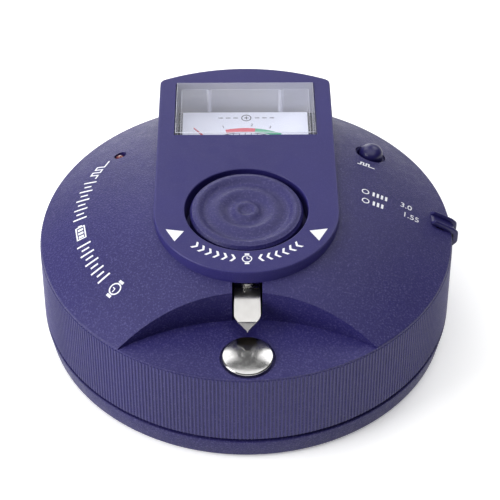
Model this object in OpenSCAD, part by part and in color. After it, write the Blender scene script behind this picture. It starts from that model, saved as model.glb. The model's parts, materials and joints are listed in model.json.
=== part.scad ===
// Round bench tester for quartz watches and button cells.
// Frame: origin on the body's axis at the table, +X right, +Y to the rear, +Z up.

/* [Case] */
// Radius of the side wall at its top edge
rim_r = 51; // [50:0.25:62]
// How much wider the side wall is at the seam than at its top edge
wall_draft = 0.5; // [0:0.1:1.5]
// Height of the side wall's top edge above the table
rim_z = 27.1; // [26.8:0.1:36]
// Thickness of the case walls
wall = 2; // [1.6:0.1:2.6]
// Sphere radius of the domed top
dome_r = 98; // [85:1:140]
// Height of the middle of the seam
seam_z = 7; // [6:0.1:8.5]
// Width of the seam's groove
seam_gap = 0.9; // [0.4:0.1:1.4]
// How much narrower the base is at the table than at the seam
base_draft = 0.8; // [0.2:0.1:2]
// How far the rubber feet lift the base
foot_lift = 0.8; // [0.5:0.1:1.6]
// Radius of each rubber foot
foot_r = 4.5; // [3:0.1:5]

/* [Platform] */
// Width of the raised platform
plat_w = 44.6; // [43.5:0.1:54]
// Height of the platform's front wall
plat_step = 3.33; // [3:0.1:6]
// Thickness of the platform's top and skirt
plat_t = 2; // [1.6:0.1:2.4]
// Distance from the rim to the platform's rear edge
plat_rear_inset = 1.5; // [1.2:0.1:4]
// Rounding of the platform's rear corners
plat_corner_r = 2; // [0.5:0.1:4]
// How far the watch pad's middle lies in front of the body's axis
pad_back = 7.2; // [6:0.1:9]
// Radius of the watch pad
pad_r = 13.6; // [11:0.1:13.8]
// Gap between the watch pad and its hole
pad_gap = 1.2; // [0.5:0.1:1.3]

/* [Meter] */
// Width of the meter window
win_w = 36.2; // [34:0.1:37]
// Length of the meter window
win_l = 21.5; // [18:0.1:24]
// Distance from the platform's rear edge to the window
win_inset = 6.8; // [6.5:0.1:9]
// Gap around the meter's clear case
meter_gap = 0.3; // [0.2:0.1:1]
// How far the meter's clear case stands above the platform
meter_rise = 0.5; // [0:0.1:1]
// Wall of the clear case
clear_t = 1.2; // [0.8:0.1:1.4]
// Depth of the scale plate below the platform's top
dial_depth = 7.9; // [7:0.1:8.5]
// Length of the pointer from its pivot to its tip
needle_len = 22.3; // [18:0.1:23]
// Pointer's rest angle to the left of straight ahead
needle_rest = 37; // [25:1:40]

/* [Controls] */
// Distance from the rim to the lamp and the button
control_inset = 12.6; // [11:0.1:14]
// Angle of the lamp and the button behind the side axis
control_angle = 33.5; // [28:0.5:36]
// Diameter of the lamp
led_d = 3; // [3:0.1:3.4]
// Radius of the push button
button_r = 3; // [2.5:0.1:3.3]
// Gap between the button and its hole
button_gap = 0.75; // [0.3:0.05:0.8]
// How far the button stands out of the dome
button_rise = 2.5; // [1.5:0.1:3]
// Distance between the selector's two grip ribs
rib_pitch = 3.5; // [3.2:0.1:4.4]
// Travel of the selector to each side
selector_throw = 1.5; // [1:0.1:1.6]

/* [Cell contact] */
// Distance from the arch of the recess to the rim
arch_depth = 19.2; // [17:0.1:20]
// Radius of the arch in plan
arch_r = 52; // [48:0.5:60]
// Radius of the contact disc
contact_r = 6; // [4.5:0.1:6.4]
// Distance from the rim to the middle of the contact disc
contact_inset = 7.1; // [7:0.1:8.5]
// Height of the contact disc above the recess floor
contact_rise = 1.4; // [0.8:0.1:1.6]
// Width of the spring strip
strip_w = 6.1; // [4:0.1:6.3]
// Thickness of the spring strip
strip_t = 0.4; // [0.3:0.05:0.5]
// Gap at each side of the strip in its slot
strip_gap = 0.45; // [0.3:0.05:0.8]

/* [Battery] */
// Length of the battery
battery_l = 48.5; // [46:0.1:49]
// Width of the battery
battery_w = 26.5; // [25:0.1:27]
// Thickness of the battery
battery_h = 17.5; // [16.5:0.1:17.5]

/* [Hidden] */

indigo = "#3a3580";
black = "#202024";
nickel = "#c9c9cf";
steel = "#a9adb3";
brass = "#c9a24a";
copper = "#b8703a";

$fn = 96;
eps = 0.01;
fit = 0.15;       // clearance of pieces that drop into each other
run = 0.3;        // clearance of pieces that move past each other

// Heights of the case
seam_low = seam_z - seam_gap / 2;
seam_top = seam_z + seam_gap / 2;
floor_top = foot_lift + wall;
dome_cz = rim_z - sqrt(pow(dome_r, 2) - pow(rim_r, 2));
function dome_z(r, inset = 0) = dome_cz + sqrt(pow(dome_r - inset, 2) - pow(r, 2));
seam_r = rim_r + wall_draft;
tongue_r = seam_r - wall - fit;   // ring of the base that enters the cover
tongue_t = 1.5;
tongue_h = 2.4;

// Platform
pad_y = -pad_back;
plat_half = plat_w / 2;
plat_top = dome_z(pad_back + plat_half) + plat_step;
plat_under = plat_top - plat_t;
plat_rear_r = rim_r - plat_rear_inset;
pad_hole_r = pad_r + pad_gap;
collar_r = pad_hole_r + 1.1;
collar_z = plat_top - 6;
disc_flange_t = 1.2;
bobbin_r = collar_r - 6.9;       // the pickup stays clear of the meter's can
pole_r = 2.6;
ear_dist = (collar_r + plat_half - plat_t) / 2;   // platform screws stand in the ring around the collar
ear_r = (plat_half - plat_t - collar_r) / 2;
ear_angles = [20, 160, 235, 305];
ear_t = 2;

// Battery bay
battery_x = -3;
battery_y = 21.25;
battery_z = floor_top + 0.6;
battery_mid_z = battery_z + battery_h / 2;
battery_x1 = battery_x + battery_l / 2;
bay_x0 = battery_x - battery_l / 2 - 0.5;
snap_x = battery_x1 + 3.2;
snap_t = 3;
bay_x1 = snap_x + 5.6;
bay_y0 = battery_y - battery_w / 2 - 0.5;
bay_y1 = battery_y + battery_w / 2 + 0.5;
bay_wall = 1.2;
bay_wall_z = battery_z + battery_h - 4.9;
door_gap = 0.25;
door_t = 1.6;
hinge_y = bay_y0 + door_gap + door_t / 2;
hinge_z = foot_lift + door_t / 2;
pin_r = 0.5;
pin_l = 1;
pin_play = 0.05;

// Meter
win_y1 = plat_rear_r - win_inset;
win_y0 = win_y1 - win_l;
meter_half = win_w / 2 - meter_gap;
meter_y1 = win_y1 - meter_gap;
meter_y0 = pad_y + collar_r + 0.7;
meter_shoulder_y = win_y0 + meter_gap;
meter_top = plat_top + meter_rise;
meter_shoulder_z = plat_under - run;
dial_z = plat_top - dial_depth;
dial_t = 0.5;
tray_z = dial_z - dial_t;          // face that carries the scale plate
rim_step_z = tray_z - 1;           // rim that carries the clear case
tray_low = rim_step_z - 1.5;
pivot_y = meter_y0 + 4.1;
can_r = 10.5;
can_wall = 1.2;
can_low = battery_z + battery_h + 1;   // the can hangs just clear of the battery
can_floor = 1.5;
can_h = tray_low - can_low + eps;   // reaches into the tray
coil_leg = 0.8;
coil_low = can_low + can_floor + 0.8;
coil_high = tray_low - 0.5;
core_r = 4.6;
core_gap = 0.4;
core_z0 = coil_low + coil_leg + core_gap;
core_z1 = coil_high - coil_leg - core_gap;
coil_in = core_r + 0.3;
coil_out = coil_in + 1;
coil_width = 1.6;
yoke_in = 7.6;
staff_r = 0.4;
staff_play = 0.05;
needle_z = dial_z + 1.9;
needle_t = 0.3;
bridge_z = dial_z + 3.3;
bridge_t = 1;
bridge_half = 8;
clamp_boss_r = 1.4;
clamp_x = meter_half + clamp_boss_r + 0.1;
post_x = 9.4;                    // clear posts on the case's rear wall
case_post_r = 0.6;
clamp_ys = [meter_y1 - 14.6, meter_y1 - 4.1];
clamp_z = tray_low;
clamp_t = 0.8;
clamp_half = plat_half - plat_t - 0.1;
terminal_x = 7;
terminal_y = meter_y1 - 9.85;

// Controls
control_r = rim_r - control_inset;
control_x = control_r * cos(control_angle);
control_y = control_r * sin(control_angle);
led_top = dome_z(control_r) - 0.3;
led_h = 4.6;
leg_x = 1.27;
board_z = rim_z - 4.5;
board_t = 1.6;
board_top = board_z + board_t;
bobbin_h = collar_z - disc_flange_t - board_top;
board_r = rim_r - 5.25;
board_y0 = pad_y - 14.8;
board_y1 = control_y + 4.8;
tact_w = 6;
plunger_r = 1.7;
button_travel = 0.8;
flange_t = 1;
flange_z = dome_z(control_r + button_r + 1.6, wall) - run - flange_t;
tact_h = flange_z - board_top - button_travel - 0.4;   // the button's flange comes down clear of its switch
plunger_z = board_top + tact_h + button_travel + 0.2;
rib_half = 0.55;
selector_half = rib_pitch / 2 + rib_half;
selector_x0 = rim_r - 5.4;
selector_drop = 4;                 // how far the selector reaches down the side wall
selector_play = 0.15;
selector_t = 0.6;
rib_rise = 0.9;
lever_half = 0.8;
slide_x1 = rim_r - 6.5;
slide_w = 5;
slide_half = 5.5;
slide_h = 3.8;
lever_z0 = board_top + 1;
lever_z1 = board_top + 2.4;
stem_x0 = rim_r - 4;
stem_x1 = rim_r - 2.4;

// Recess and cell contact
arch_y = -(rim_r - arch_depth);    // front of the arch on the middle line
arch_cy = arch_y - arch_r;
contact_y = -(rim_r - contact_inset);
contact_z = rim_z + contact_rise;
contact_sink = 0.6;
stud_r = 1.5;
strip_z = dome_z(rim_r - arch_depth) - 2.6;       // underside of the strip's root
strip_screw_y = arch_y + 5.6;
strip_bend_y = arch_y + 0.6;
strip_root_y = arch_y + 3.4;                     // where the strip leaves its post and starts to flex
strip_slope = 20;                                // fall of the sloping length, degrees
strip_fold_y = strip_bend_y - 5.1;
strip_tip_y = strip_fold_y - 3.9;
slot_half = strip_w / 2 + strip_gap;

// Screw posts between base and cover
post_dist = rim_r - 6.4;
post_angles = [-39, 43, 137, 219];
post_r = 2.8;
post_split = seam_top + 2;
board_boss_x = plat_half + 3.7;
board_boss_ys = [-12, 14];
foot_dist = rim_r - 8.8;

// ---------- helpers ----------
module at_polar(r, angles) { for (a = angles) rotate([0, 0, a]) translate([r, 0, 0]) children(); }
module tube(r, bore, h) {
  difference() {
    cylinder(r = r, h = h);
    translate([0, 0, -1]) cylinder(r = bore, h = h + 2);
  }
}
module block(x0, x1, y0, y1, z0, z1) { translate([x0, y0, z0]) cube([x1 - x0, y1 - y0, z1 - z0]); }

module door_pin(r, x0, x1) {
  translate([x0, hinge_y, hinge_z]) rotate([0, 90, 0]) cylinder(r = r, h = x1 - x0, $fn = 48);
}
module at_board_bosses(z) {
  for (x = [-board_boss_x, board_boss_x], y = board_boss_ys) translate([x, y, z]) children();
}
module at_clamps(z) { for (x = [-clamp_x, clamp_x], y = clamp_ys) translate([x, y, z]) children(); }

// Box with round vertical edges
module round_block(x0, x1, y0, y1, z0, z1, r) {
  translate([0, 0, z0]) linear_extrude(z1 - z0) polygon([for (c = [[x1 - r, y1 - r, 0], [x0 + r, y1 - r, 90],
    [x0 + r, y0 + r, 180], [x1 - r, y0 + r, 270]]) for (i = [0:6]) [c[0] + r * cos(c[2] + 15 * i),
    c[1] + r * sin(c[2] + 15 * i)]]);
}

// Machine screw: head below z = 0, shank above it
module screw(head_r, head_h, shank_r, length) {
  difference() {
    union() {
      translate([0, 0, -head_h]) cylinder(r = head_r, h = head_h, $fn = 32);
      cylinder(r = shank_r, h = length, $fn = 24);
    }
    for (a = [0, 90]) rotate([0, 0, a])
      block(-head_r * 0.65, head_r * 0.65, -0.2, 0.2, -head_h - 1, -head_h * 0.5);
  }
}

// Round wire through hand-chosen points, smoothed by a Catmull-Rom curve
function mid_point(p, i, t) =
  let (a = p[max(i - 1, 0)], b = p[i], c = p[i + 1], d = p[min(i + 2, len(p) - 1)])
  0.5 * (2 * b + (c - a) * t + (2 * a - 5 * b + 4 * c - d) * t * t + (3 * b - a - 3 * c + d) * t * t * t);
function smooth_path(p, n) = concat([for (i = [0:len(p) - 2]) for (k = [0:n - 1]) mid_point(p, i, k / n)],
  [p[len(p) - 1]]);
function unit(v) = v / norm(v);
function heading(q, i) = unit(q[min(i + 1, len(q) - 1)] - q[max(i - 1, 0)]);
module wire(points, r, side) {
  sides = 8;
  q = smooth_path(points, 4);
  rings = [for (i = [0:len(q) - 1]) let (h = heading(q, i), u = unit(cross(h, side)), v = cross(u, h))
    for (k = [0:sides - 1]) q[i] + r * (cos(360 * k / sides) * u + sin(360 * k / sides) * v)];
  last = (len(q) - 1) * sides;
  polyhedron(rings, concat([[for (k = [0:sides - 1]) k]],
    [for (i = [0:len(q) - 2]) for (k = [0:sides - 1]) let (n = (k + 1) % sides, a = i * sides)
      [a + k, a + sides + k, a + sides + n, a + n]],
    [[for (k = [sides - 1:-1:0]) last + k]]));
}

// ---------- case ----------
// Solid bounded by the dome and the side wall, both moved in by inset
module case_solid(inset, z0) {
  intersection() {
    translate([0, 0, dome_cz]) sphere(r = dome_r - inset, $fn = 240);
    translate([0, 0, z0]) cylinder(r1 = seam_r + wall_draft * (seam_z - z0) / rim_z - inset,
      r2 = rim_r - inset - 0.4, h = 45, $fn = 180);
  }
}
function arc(cx, cy, r, a0, a1, n) =
  [for (i = [0:n]) let (a = a0 + (a1 - a0) * i / n) [cx + r * cos(a), cy + r * sin(a)]];
// Plan of the platform, moved in by inset: round front, straight sides, rear on the body's circle
module platform_block(inset, z0, z1) {
  h = plat_half - inset;
  k = max(plat_corner_r - inset, 0.2);
  cx = h - k;
  cy = sqrt(pow(plat_rear_r - inset - k, 2) - pow(cx, 2));
  turn = atan2(cy, cx);
  translate([0, 0, z0]) linear_extrude(z1 - z0) polygon(concat(
    arc(0, pad_y, h, 180, 360, 48), arc(cx, cy, k, 0, turn, 5),
    arc(0, 0, plat_rear_r - inset, turn, 180 - turn, 20), arc(-cx, cy, k, 180 - turn, 180, 5)));
}
module arch_block(grow, z0, z1) {
  translate([0, arch_cy, z0]) cylinder(r = arch_r + grow, h = z1 - z0, $fn = 240);
}
module ear_webs() {
  translate([0, pad_y, 0]) at_polar(0, ear_angles) {
    translate([ear_dist, 0, collar_z - ear_t]) cylinder(r = ear_r, h = ear_t, $fn = 32);
    block(ear_dist, plat_half + 2, -ear_r, ear_r, collar_z - ear_t, plat_top);
  }
}

module top_cover() {
  color(indigo) difference() {
    union() {
      difference() {
        case_solid(0, seam_top);
        case_solid(wall, seam_top - 1);
      }
      intersection() {
        case_solid(0, seam_top);
        arch_block(wall, rim_z - wall, plat_top);
      }
      intersection() {
        case_solid(wall / 2, post_split);
        union() {
          at_polar(post_dist, post_angles)
            translate([0, 0, post_split]) cylinder(r = post_r, h = 40, $fn = 32);
          at_board_bosses(board_top) cylinder(r = 2.6, h = 20, $fn = 32);
          difference() {
            ear_webs();
            platform_block(plat_t - 0.1, collar_z, 60);
          }
        }
      }
    }
    arch_block(0, rim_z, 60);
    block(-slot_half, slot_half, arch_y - wall, strip_screw_y + 2.6, rim_z, 60);
    difference() {
      platform_block(plat_t - 0.1, 20, 60);
      ear_webs();
    }
    platform_block(plat_t - 0.1, collar_z, 60);
    translate([0, pad_y, 0]) at_polar(ear_dist, ear_angles)
      translate([0, 0, collar_z - ear_t - 1]) cylinder(r = 1.1, h = ear_t + 2, $fn = 24);
    translate([-control_x, control_y, 20]) cylinder(r = led_d / 2 + 0.1, h = 30, $fn = 48);
    translate([control_x, control_y, 20]) cylinder(r = button_r + button_gap, h = 30, $fn = 64);
    block(stem_x0 - fit, stem_x1 + fit, -lever_half - selector_throw - 0.2, lever_half + selector_throw + 0.2,
      board_top, 60);
    translate([0, contact_y, rim_z - contact_sink]) cylinder(r = contact_r + 0.4, h = 5);
    translate([0, contact_y, 20]) cylinder(r = stud_r + fit, h = 20, $fn = 32);
    at_polar(post_dist, post_angles) translate([0, 0, post_split - 1]) cylinder(r = 1.15, h = 10, $fn = 24);
    at_board_bosses(board_top - 1) cylinder(r = 0.95, h = 6, $fn = 24);
  }
}

module base_shell() {
  color(indigo) difference() {
    union() {
      translate([0, 0, foot_lift])
        cylinder(r1 = seam_r - base_draft, r2 = seam_r, h = seam_low - foot_lift, $fn = 180);
      cylinder(r = seam_r - 1.3, h = seam_top, $fn = 180);
      cylinder(r = tongue_r, h = seam_top + tongue_h, $fn = 180);
    }
    translate([0, 0, -1]) cylinder(r = 80, h = foot_lift + 1);
    difference() {
      translate([0, 0, floor_top]) cylinder(r = tongue_r - tongue_t, h = 20, $fn = 180);
      at_polar(post_dist, post_angles) cylinder(r = post_r + 0.7, h = post_split - fit, $fn = 32);
      block(bay_x0 - bay_wall, bay_x0, bay_y0, bay_y1, 0, bay_wall_z);
      block(bay_x0 - bay_wall, bay_x1, bay_y0 - bay_wall, bay_y0, 0, bay_wall_z);
      block(bay_x0 - bay_wall, bay_x1, bay_y1, bay_y1 + bay_wall, 0, bay_wall_z);
      for (y = [bay_y0, bay_y1 - 5]) block(battery_x1 + 0.2, battery_x1 + 1.4, y, y + 5, 0, bay_wall_z);
    }
    block(bay_x0, bay_x1, bay_y0, bay_y1, -1, floor_top + 1);
    door_pin(pin_r + pin_play, bay_x0 - pin_l - 0.1, bay_x1 + pin_l + 0.1);
    at_polar(post_dist, post_angles) {
      cylinder(r = 2.5, h = 5.8, $fn = 32);
      cylinder(r = 1.3, h = 20, $fn = 24);
    }
    at_polar(foot_dist, [0, 90, 180, 270]) cylinder(r = foot_r + 0.1, h = 2 * foot_lift);
  }
}

module rubber_feet() {
  color(black) at_polar(foot_dist, [0, 90, 180, 270]) cylinder(r = foot_r, h = 2 * foot_lift);
}

module case_screws() {
  color(steel) at_polar(post_dist, post_angles) translate([0, 0, 5.8]) screw(2.2, 1.6, 1.1, 9.5);
}

// ---------- platform and watch pad ----------
module watch_platform() {
  color(indigo) difference() {
    union() {
      difference() {
        platform_block(0, 20, plat_top);
        translate([0, 0, dome_cz]) sphere(r = dome_r, $fn = 240);
        platform_block(plat_t, 10, plat_under);
      }
      platform_block(plat_t, plat_under, plat_top);
      translate([0, pad_y, collar_z]) cylinder(r = collar_r, h = plat_top - 1 - collar_z);
      translate([0, pad_y, 0]) at_polar(ear_dist, ear_angles)
        translate([0, 0, collar_z]) cylinder(r = ear_r - 0.2, h = plat_top - 1 - collar_z, $fn = 32);
      intersection() {
        at_clamps(clamp_z) cylinder(r = clamp_boss_r, h = plat_top - 1 - clamp_z, $fn = 24);
        platform_block(plat_t, 20, plat_top);
      }
    }
    translate([0, pad_y, collar_z - 1]) cylinder(r = pad_hole_r, h = 20, $fn = 180);
    block(-win_w / 2, win_w / 2, win_y0, win_y1, 10, 60);
    translate([0, pad_y, 0]) at_polar(ear_dist, ear_angles)
      translate([0, 0, collar_z - 1]) cylinder(r = 0.85, h = 4.5, $fn = 24);
    at_clamps(clamp_z - 1) cylinder(r = 0.65, h = 6, $fn = 24);
  }
}

// Pad's ripples as shares of its radius and heights: dimpled boss, trough, ridge, trough, rim
pad_wave = [[0, -0.9], [0.09, -0.8], [0.185, -0.1], [0.295, -1.1], [0.485, -0.2], [0.685, -1.2], [0.88, 0.1],
  [0.97, -0.25], [1, -1]];
function pad_height(s) = let (i = len([for (p = pad_wave) if (p[0] <= s) 1]) - 1, a = pad_wave[i],
  b = pad_wave[min(i + 1, len(pad_wave) - 1)], t = (s - a[0]) / max(b[0] - a[0], eps))
  a[1] + (b[1] - a[1]) * (1 - cos(180 * t)) / 2;
module sensor_disc() {
  n = 48;
  color(indigo) translate([0, pad_y, 0]) {
    rotate_extrude($fn = 120) polygon(concat([[0, collar_z]], [[pad_r, collar_z]],
      [for (i = [n:-1:0]) [pad_r * i / n, plat_top + pad_height(i / n)]]));
    translate([0, 0, collar_z - disc_flange_t]) cylinder(r = collar_r, h = disc_flange_t);
  }
}

module platform_screws() {
  color(steel) translate([0, pad_y, 0]) at_polar(ear_dist, ear_angles)
    translate([0, 0, collar_z - ear_t]) screw(1.6, 1.1, 0.8, ear_t + 3.2);
}

module coil_bobbin() {
  color(black) translate([0, pad_y, board_top]) {
    tube(bobbin_r, pole_r, 1);
    tube(pole_r + 1, pole_r, bobbin_h);
    translate([0, 0, bobbin_h - 1]) tube(bobbin_r, pole_r, 1);
  }
}
module coil_winding() {
  color(copper) translate([0, pad_y, board_top + 1]) tube(bobbin_r - 0.8, pole_r + 1, bobbin_h - 2);
}
module coil_core() {
  color("#4a4a4e") translate([0, pad_y, board_top]) cylinder(r = pole_r, h = bobbin_h);
}
module coil_leads() {
  color(copper) for (s = [-1, 1])
    wire([[s * (bobbin_r - 0.8), pad_y - 2, board_top + 2],
      [s * (bobbin_r + 0.4), pad_y - 3, board_top + 1.8], [s * (bobbin_r + 1), pad_y - 4, board_top]],
      0.25, [1, 0, 0]);
}

// ---------- meter ----------
module meter_cover() {
  color([0.85, 0.88, 0.92, 0.35]) difference() {
    union() {
      block(-meter_half, meter_half, meter_y0, meter_y1, rim_step_z, meter_shoulder_z);
      block(-meter_half, meter_half, meter_shoulder_y, meter_y1, rim_step_z, meter_top);
    }
    difference() {
      union() {
        block(-meter_half + clear_t, meter_half - clear_t, meter_y0 + clear_t, meter_y1 - clear_t,
          rim_step_z - 1, meter_shoulder_z - clear_t);
        block(-meter_half + clear_t, meter_half - clear_t, meter_shoulder_y + clear_t, meter_y1 - clear_t,
          rim_step_z - 1, meter_top - clear_t);
      }
      for (x = [-post_x, post_x]) translate([x, meter_y1 - clear_t, dial_z])
        cylinder(r = case_post_r, h = 20, $fn = 32);
    }
  }
}
module meter_body() {
  color(black) difference() {
    union() {
      block(-meter_half, meter_half, meter_y0, meter_y1, tray_low, rim_step_z);
      block(-meter_half + clear_t, meter_half - clear_t, meter_y0 + clear_t, meter_y1 - clear_t,
        rim_step_z, tray_z);
      translate([0, pivot_y, can_low]) cylinder(r = can_r, h = can_h);
    }
    translate([0, pivot_y, can_low + can_floor])
      cylinder(r = can_r - can_wall, h = can_h - can_floor);
    translate([0, pivot_y, tray_low - 1]) cylinder(r = 1.6, h = 10, $fn = 32);
    translate([0, pivot_y, can_low + 0.5]) cylinder(r = staff_r + staff_play, h = 5, $fn = 24);
  }
}
module meter_dial() {
  color("#eef0f6") difference() {
    block(-meter_half + clear_t + fit, meter_half - clear_t - fit, meter_y0 + clear_t + fit,
      meter_y1 - clear_t - case_post_r - 0.05, tray_z, dial_z);
    translate([0, pivot_y, tray_z - 1]) cylinder(r = 1.6, h = 5, $fn = 32);
  }
}
module meter_magnet() {
  color("#55565a") translate([0, pivot_y, core_z0]) cylinder(r = core_r, h = core_z1 - core_z0, $fn = 64);
}
module meter_yoke() {
  color(steel) translate([0, pivot_y, can_low + can_floor])
    tube(can_r - can_wall - 0.05, yoke_in, tray_low - can_low - can_floor - 0.05);
}
module core_holder() {
  color(brass) translate([0, pivot_y, 0]) difference() {
    block(-1.2, 1.2, -yoke_in + 0.15, yoke_in - 0.15, core_z0 + 0.2, core_z1 - 0.2);
    translate([0, 0, core_z0 - 1]) cylinder(r = core_r, h = core_z1 - core_z0 + 2, $fn = 64);
  }
}
module moving_coil() {
  color(copper) translate([0, pivot_y, 0]) rotate([0, 0, needle_rest]) difference() {
    block(-coil_out, coil_out, -coil_width / 2, coil_width / 2, coil_low, coil_high);
    block(-coil_in, coil_in, -coil_width, coil_width, coil_low + coil_leg, coil_high - coil_leg);
  }
}
module needle_staff() {
  color(steel) translate([0, pivot_y, 0]) {
    translate([0, 0, can_low + 0.7]) cylinder(r = staff_r, h = coil_low - can_low - 0.7, $fn = 24);
    translate([0, 0, coil_high]) cylinder(r = staff_r, h = needle_z - coil_high, $fn = 24);
    translate([0, 0, needle_z + needle_t])
      cylinder(r = staff_r, h = bridge_z + bridge_t - 0.2 - needle_z - needle_t, $fn = 24);
  }
}
module meter_needle() {
  color("#c02030") translate([0, pivot_y, needle_z]) rotate([0, 0, 90 + needle_rest])
  linear_extrude(needle_t) {
    circle(r = 1.1, $fn = 32);
    polygon([[0, -0.45], [needle_len - 6, -0.3], [needle_len, -0.08], [needle_len, 0.08],
      [needle_len - 6, 0.3], [0, 0.45]]);
    polygon([[-2.4, -0.5], [0, -0.4], [0, 0.4], [-2.4, 0.5]]);
    polygon([[-0.35, -2.4], [0.35, -2.4], [0.35, 2.4], [-0.35, 2.4]]);
  }
}
module meter_bridge() {
  color(brass) translate([0, pivot_y, 0]) difference() {
    union() {
      block(-bridge_half, bridge_half, -1.4, 1.4, bridge_z, bridge_z + bridge_t);
      for (s = [-1, 1]) translate([s * (bridge_half - 1.2), 0, dial_z])
        cylinder(r = 1.2, h = bridge_z - dial_z, $fn = 32);
    }
    translate([0, 0, bridge_z - 1]) cylinder(r = staff_r + staff_play, h = 5, $fn = 24);
  }
}
// Flat spiral between the scale plate and the pointer
module hairspring() {
  turns = 3;
  steps = 14 * turns;
  function spiral(i, grow) =
    let (a = 360 * turns * i / steps, r = 1 + 1.3 * i / steps + grow) [r * cos(a), r * sin(a)];
  color(brass) translate([0, pivot_y, dial_z + 0.6]) linear_extrude(0.4)
    polygon(concat([for (i = [0:steps]) spiral(i, 0.06)], [for (i = [steps:-1:0]) spiral(i, -0.06)]));
}
module meter_terminals() {
  color(nickel) for (s = [-1, 1]) translate([s * terminal_x, terminal_y, tray_low]) {
    block(-1, 1, -0.25, 0.25, -3, 0);
    translate([0, 0, -0.6]) cylinder(r = 1.3, h = 0.6, $fn = 24);
  }
}
module meter_leads() {
  end_x = can_r + 2.9;
  end_y = board_y1 - 2.5;
  color("#d8c02a") for (s = [-1, 1])
    wire([[s * terminal_x, terminal_y - 0.75, tray_low - 2.4], [s * 8.5, terminal_y - 2.25, tray_low - 3.2],
      [s * (end_x - 2.4), end_y + 3, clamp_z - clamp_t - 2], [s * end_x, end_y, board_top + 1.6],
      [s * end_x, end_y, board_top + 0.8], [s * end_x, end_y, board_top]], 0.45, [1, 0, 0]);
}
module meter_clamps() {
  color(steel) difference() {
    for (y = clamp_ys) block(-clamp_half, clamp_half, y - 1.7, y + 1.7, clamp_z - clamp_t, clamp_z);
    at_clamps(clamp_z - 2) cylinder(r = 0.75, h = 4, $fn = 24);
  }
}
module meter_screws() {
  color(steel) at_clamps(clamp_z - clamp_t) screw(0.95, 0.8, 0.6, 4.5);
}

// ---------- cell contact ----------
module cell_contact() {
  rise = contact_rise + contact_sink;
  k = 0.5;
  color(nickel) translate([0, contact_y, rim_z - contact_sink]) {
    rotate_extrude($fn = 120) polygon(concat([[0, 0], [contact_r - 0.1, 0]], [for (i = [0:6])
      [contact_r - k + k * cos(15 * i), rise - k + k * sin(15 * i)]], [[0, rise]]));
    translate([0, 0, -wall - 4]) cylinder(r = stud_r, h = wall + 4 + eps, $fn = 32);
  }
}
module contact_tag() {
  color(nickel) translate([0, contact_y, rim_z - wall - 0.4]) {
    tube(3, stud_r, 0.4);
    block(-1, 1, 2.5, 5.5, 0, 0.4);
  }
}
module contact_nut() {
  color(nickel) translate([0, contact_y, rim_z - wall - 2.4]) difference() {
    cylinder(r = 3, h = 2, $fn = 6);
    translate([0, 0, -1]) cylinder(r = stud_r, h = 4, $fn = 32);
  }
}
module contact_lead() {
  z = rim_z - wall - 0.4;
  start = contact_y + 4.6;
  end = board_y0 + 2;
  color("#e8e8ea") wire([[0, start, z], [0, start, z - 0.7], [0, start, z - 1.4], [4, start + 3.4, z - 4.5],
    [8, (start + end) / 2, board_z - 4.1], [11.4, end - 2.5, board_z - 3.6], [12, end, board_z - 1.8],
    [12, end, board_z - 0.9], [12, end, board_z]], 0.6, [1, 0.3, 0]);
}
module strip_post() {
  color(brass) translate([0, strip_screw_y, board_top]) difference() {
    block(-2.8, 2.8, -2.2, 2.2, 0, strip_z - board_top);
    cylinder(r = 0.9, h = 20, $fn = 24);
  }
}
module strip_root() {
  color(nickel) difference() {
    block(-strip_w / 2, strip_w / 2, strip_root_y + strip_t / 2 + 0.02, strip_screw_y + 2.3,
      strip_z, strip_z + strip_t);
    translate([0, strip_screw_y, strip_z - 1]) cylinder(r = 1.05, h = 3, $fn = 24);
  }
}
// Free length of the strip: round end on the flex line, level, sloping, then a level point
module contact_strip() {
  drop = tan(strip_slope) * (strip_bend_y - strip_fold_y);
  side = [[strip_root_y, strip_z], [strip_bend_y, strip_z], [strip_fold_y, strip_z - drop],
    [strip_tip_y, strip_z - drop]];
  thick = [0, strip_t];
  color(nickel) {
    intersection() {
      translate([-strip_w / 2, 0, 0]) rotate([90, 0, 90]) linear_extrude(strip_w)
        polygon(concat(side, [for (i = [3:-1:0]) side[i] + thick]));
      linear_extrude(100) polygon([[-strip_w / 2, strip_root_y], [-strip_w / 2, strip_fold_y + 0.3],
        [-0.35, strip_tip_y], [0.35, strip_tip_y], [strip_w / 2, strip_fold_y + 0.3],
        [strip_w / 2, strip_root_y]]);
    }
    translate([-strip_w / 2, strip_root_y, strip_z + strip_t / 2]) rotate([0, 90, 0])
      cylinder(r = strip_t / 2, h = strip_w, $fn = 32);
  }
}
module strip_screw() {
  color(nickel) translate([0, strip_screw_y, strip_z + strip_t]) rotate([180, 0, 0]) screw(1.8, 1.1, 0.85, 6);
}

// ---------- lamp, button and selector ----------
module led() {
  r = led_d / 2;
  color("#b01420") translate([-control_x, control_y, 0]) {
    translate([0, 0, led_top - led_h]) cylinder(r = r + 0.4, h = 1, $fn = 48);
    translate([0, 0, led_top - led_h + 1]) cylinder(r = r, h = led_h - 1 - r, $fn = 48);
    intersection() {
      translate([0, 0, led_top - r]) sphere(r = r, $fn = 48);
      translate([0, 0, led_top - r - eps]) cylinder(r = 3, h = 5);
    }
  }
}
module led_legs() {
  color(nickel) for (s = [-1, 1]) translate([-control_x + s * leg_x, control_y, 0])
    block(-0.25, 0.25, -0.25, 0.25, board_z - 1, led_top - led_h);
}
module tact_switch() {
  w = tact_w / 2;
  color(black) translate([control_x, control_y, board_top]) difference() {
    block(-w, w, -w, w, 0, tact_h);
    translate([0, 0, tact_h - 0.6 - button_travel - 0.2]) cylinder(r = plunger_r + 0.1, h = 5, $fn = 48);
  }
}
module switch_plunger() {
  z0 = board_top + tact_h - 0.6;
  color("#d8d8da") translate([control_x, control_y, z0])
    cylinder(r = plunger_r, h = plunger_z - z0, $fn = 48);
}
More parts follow.
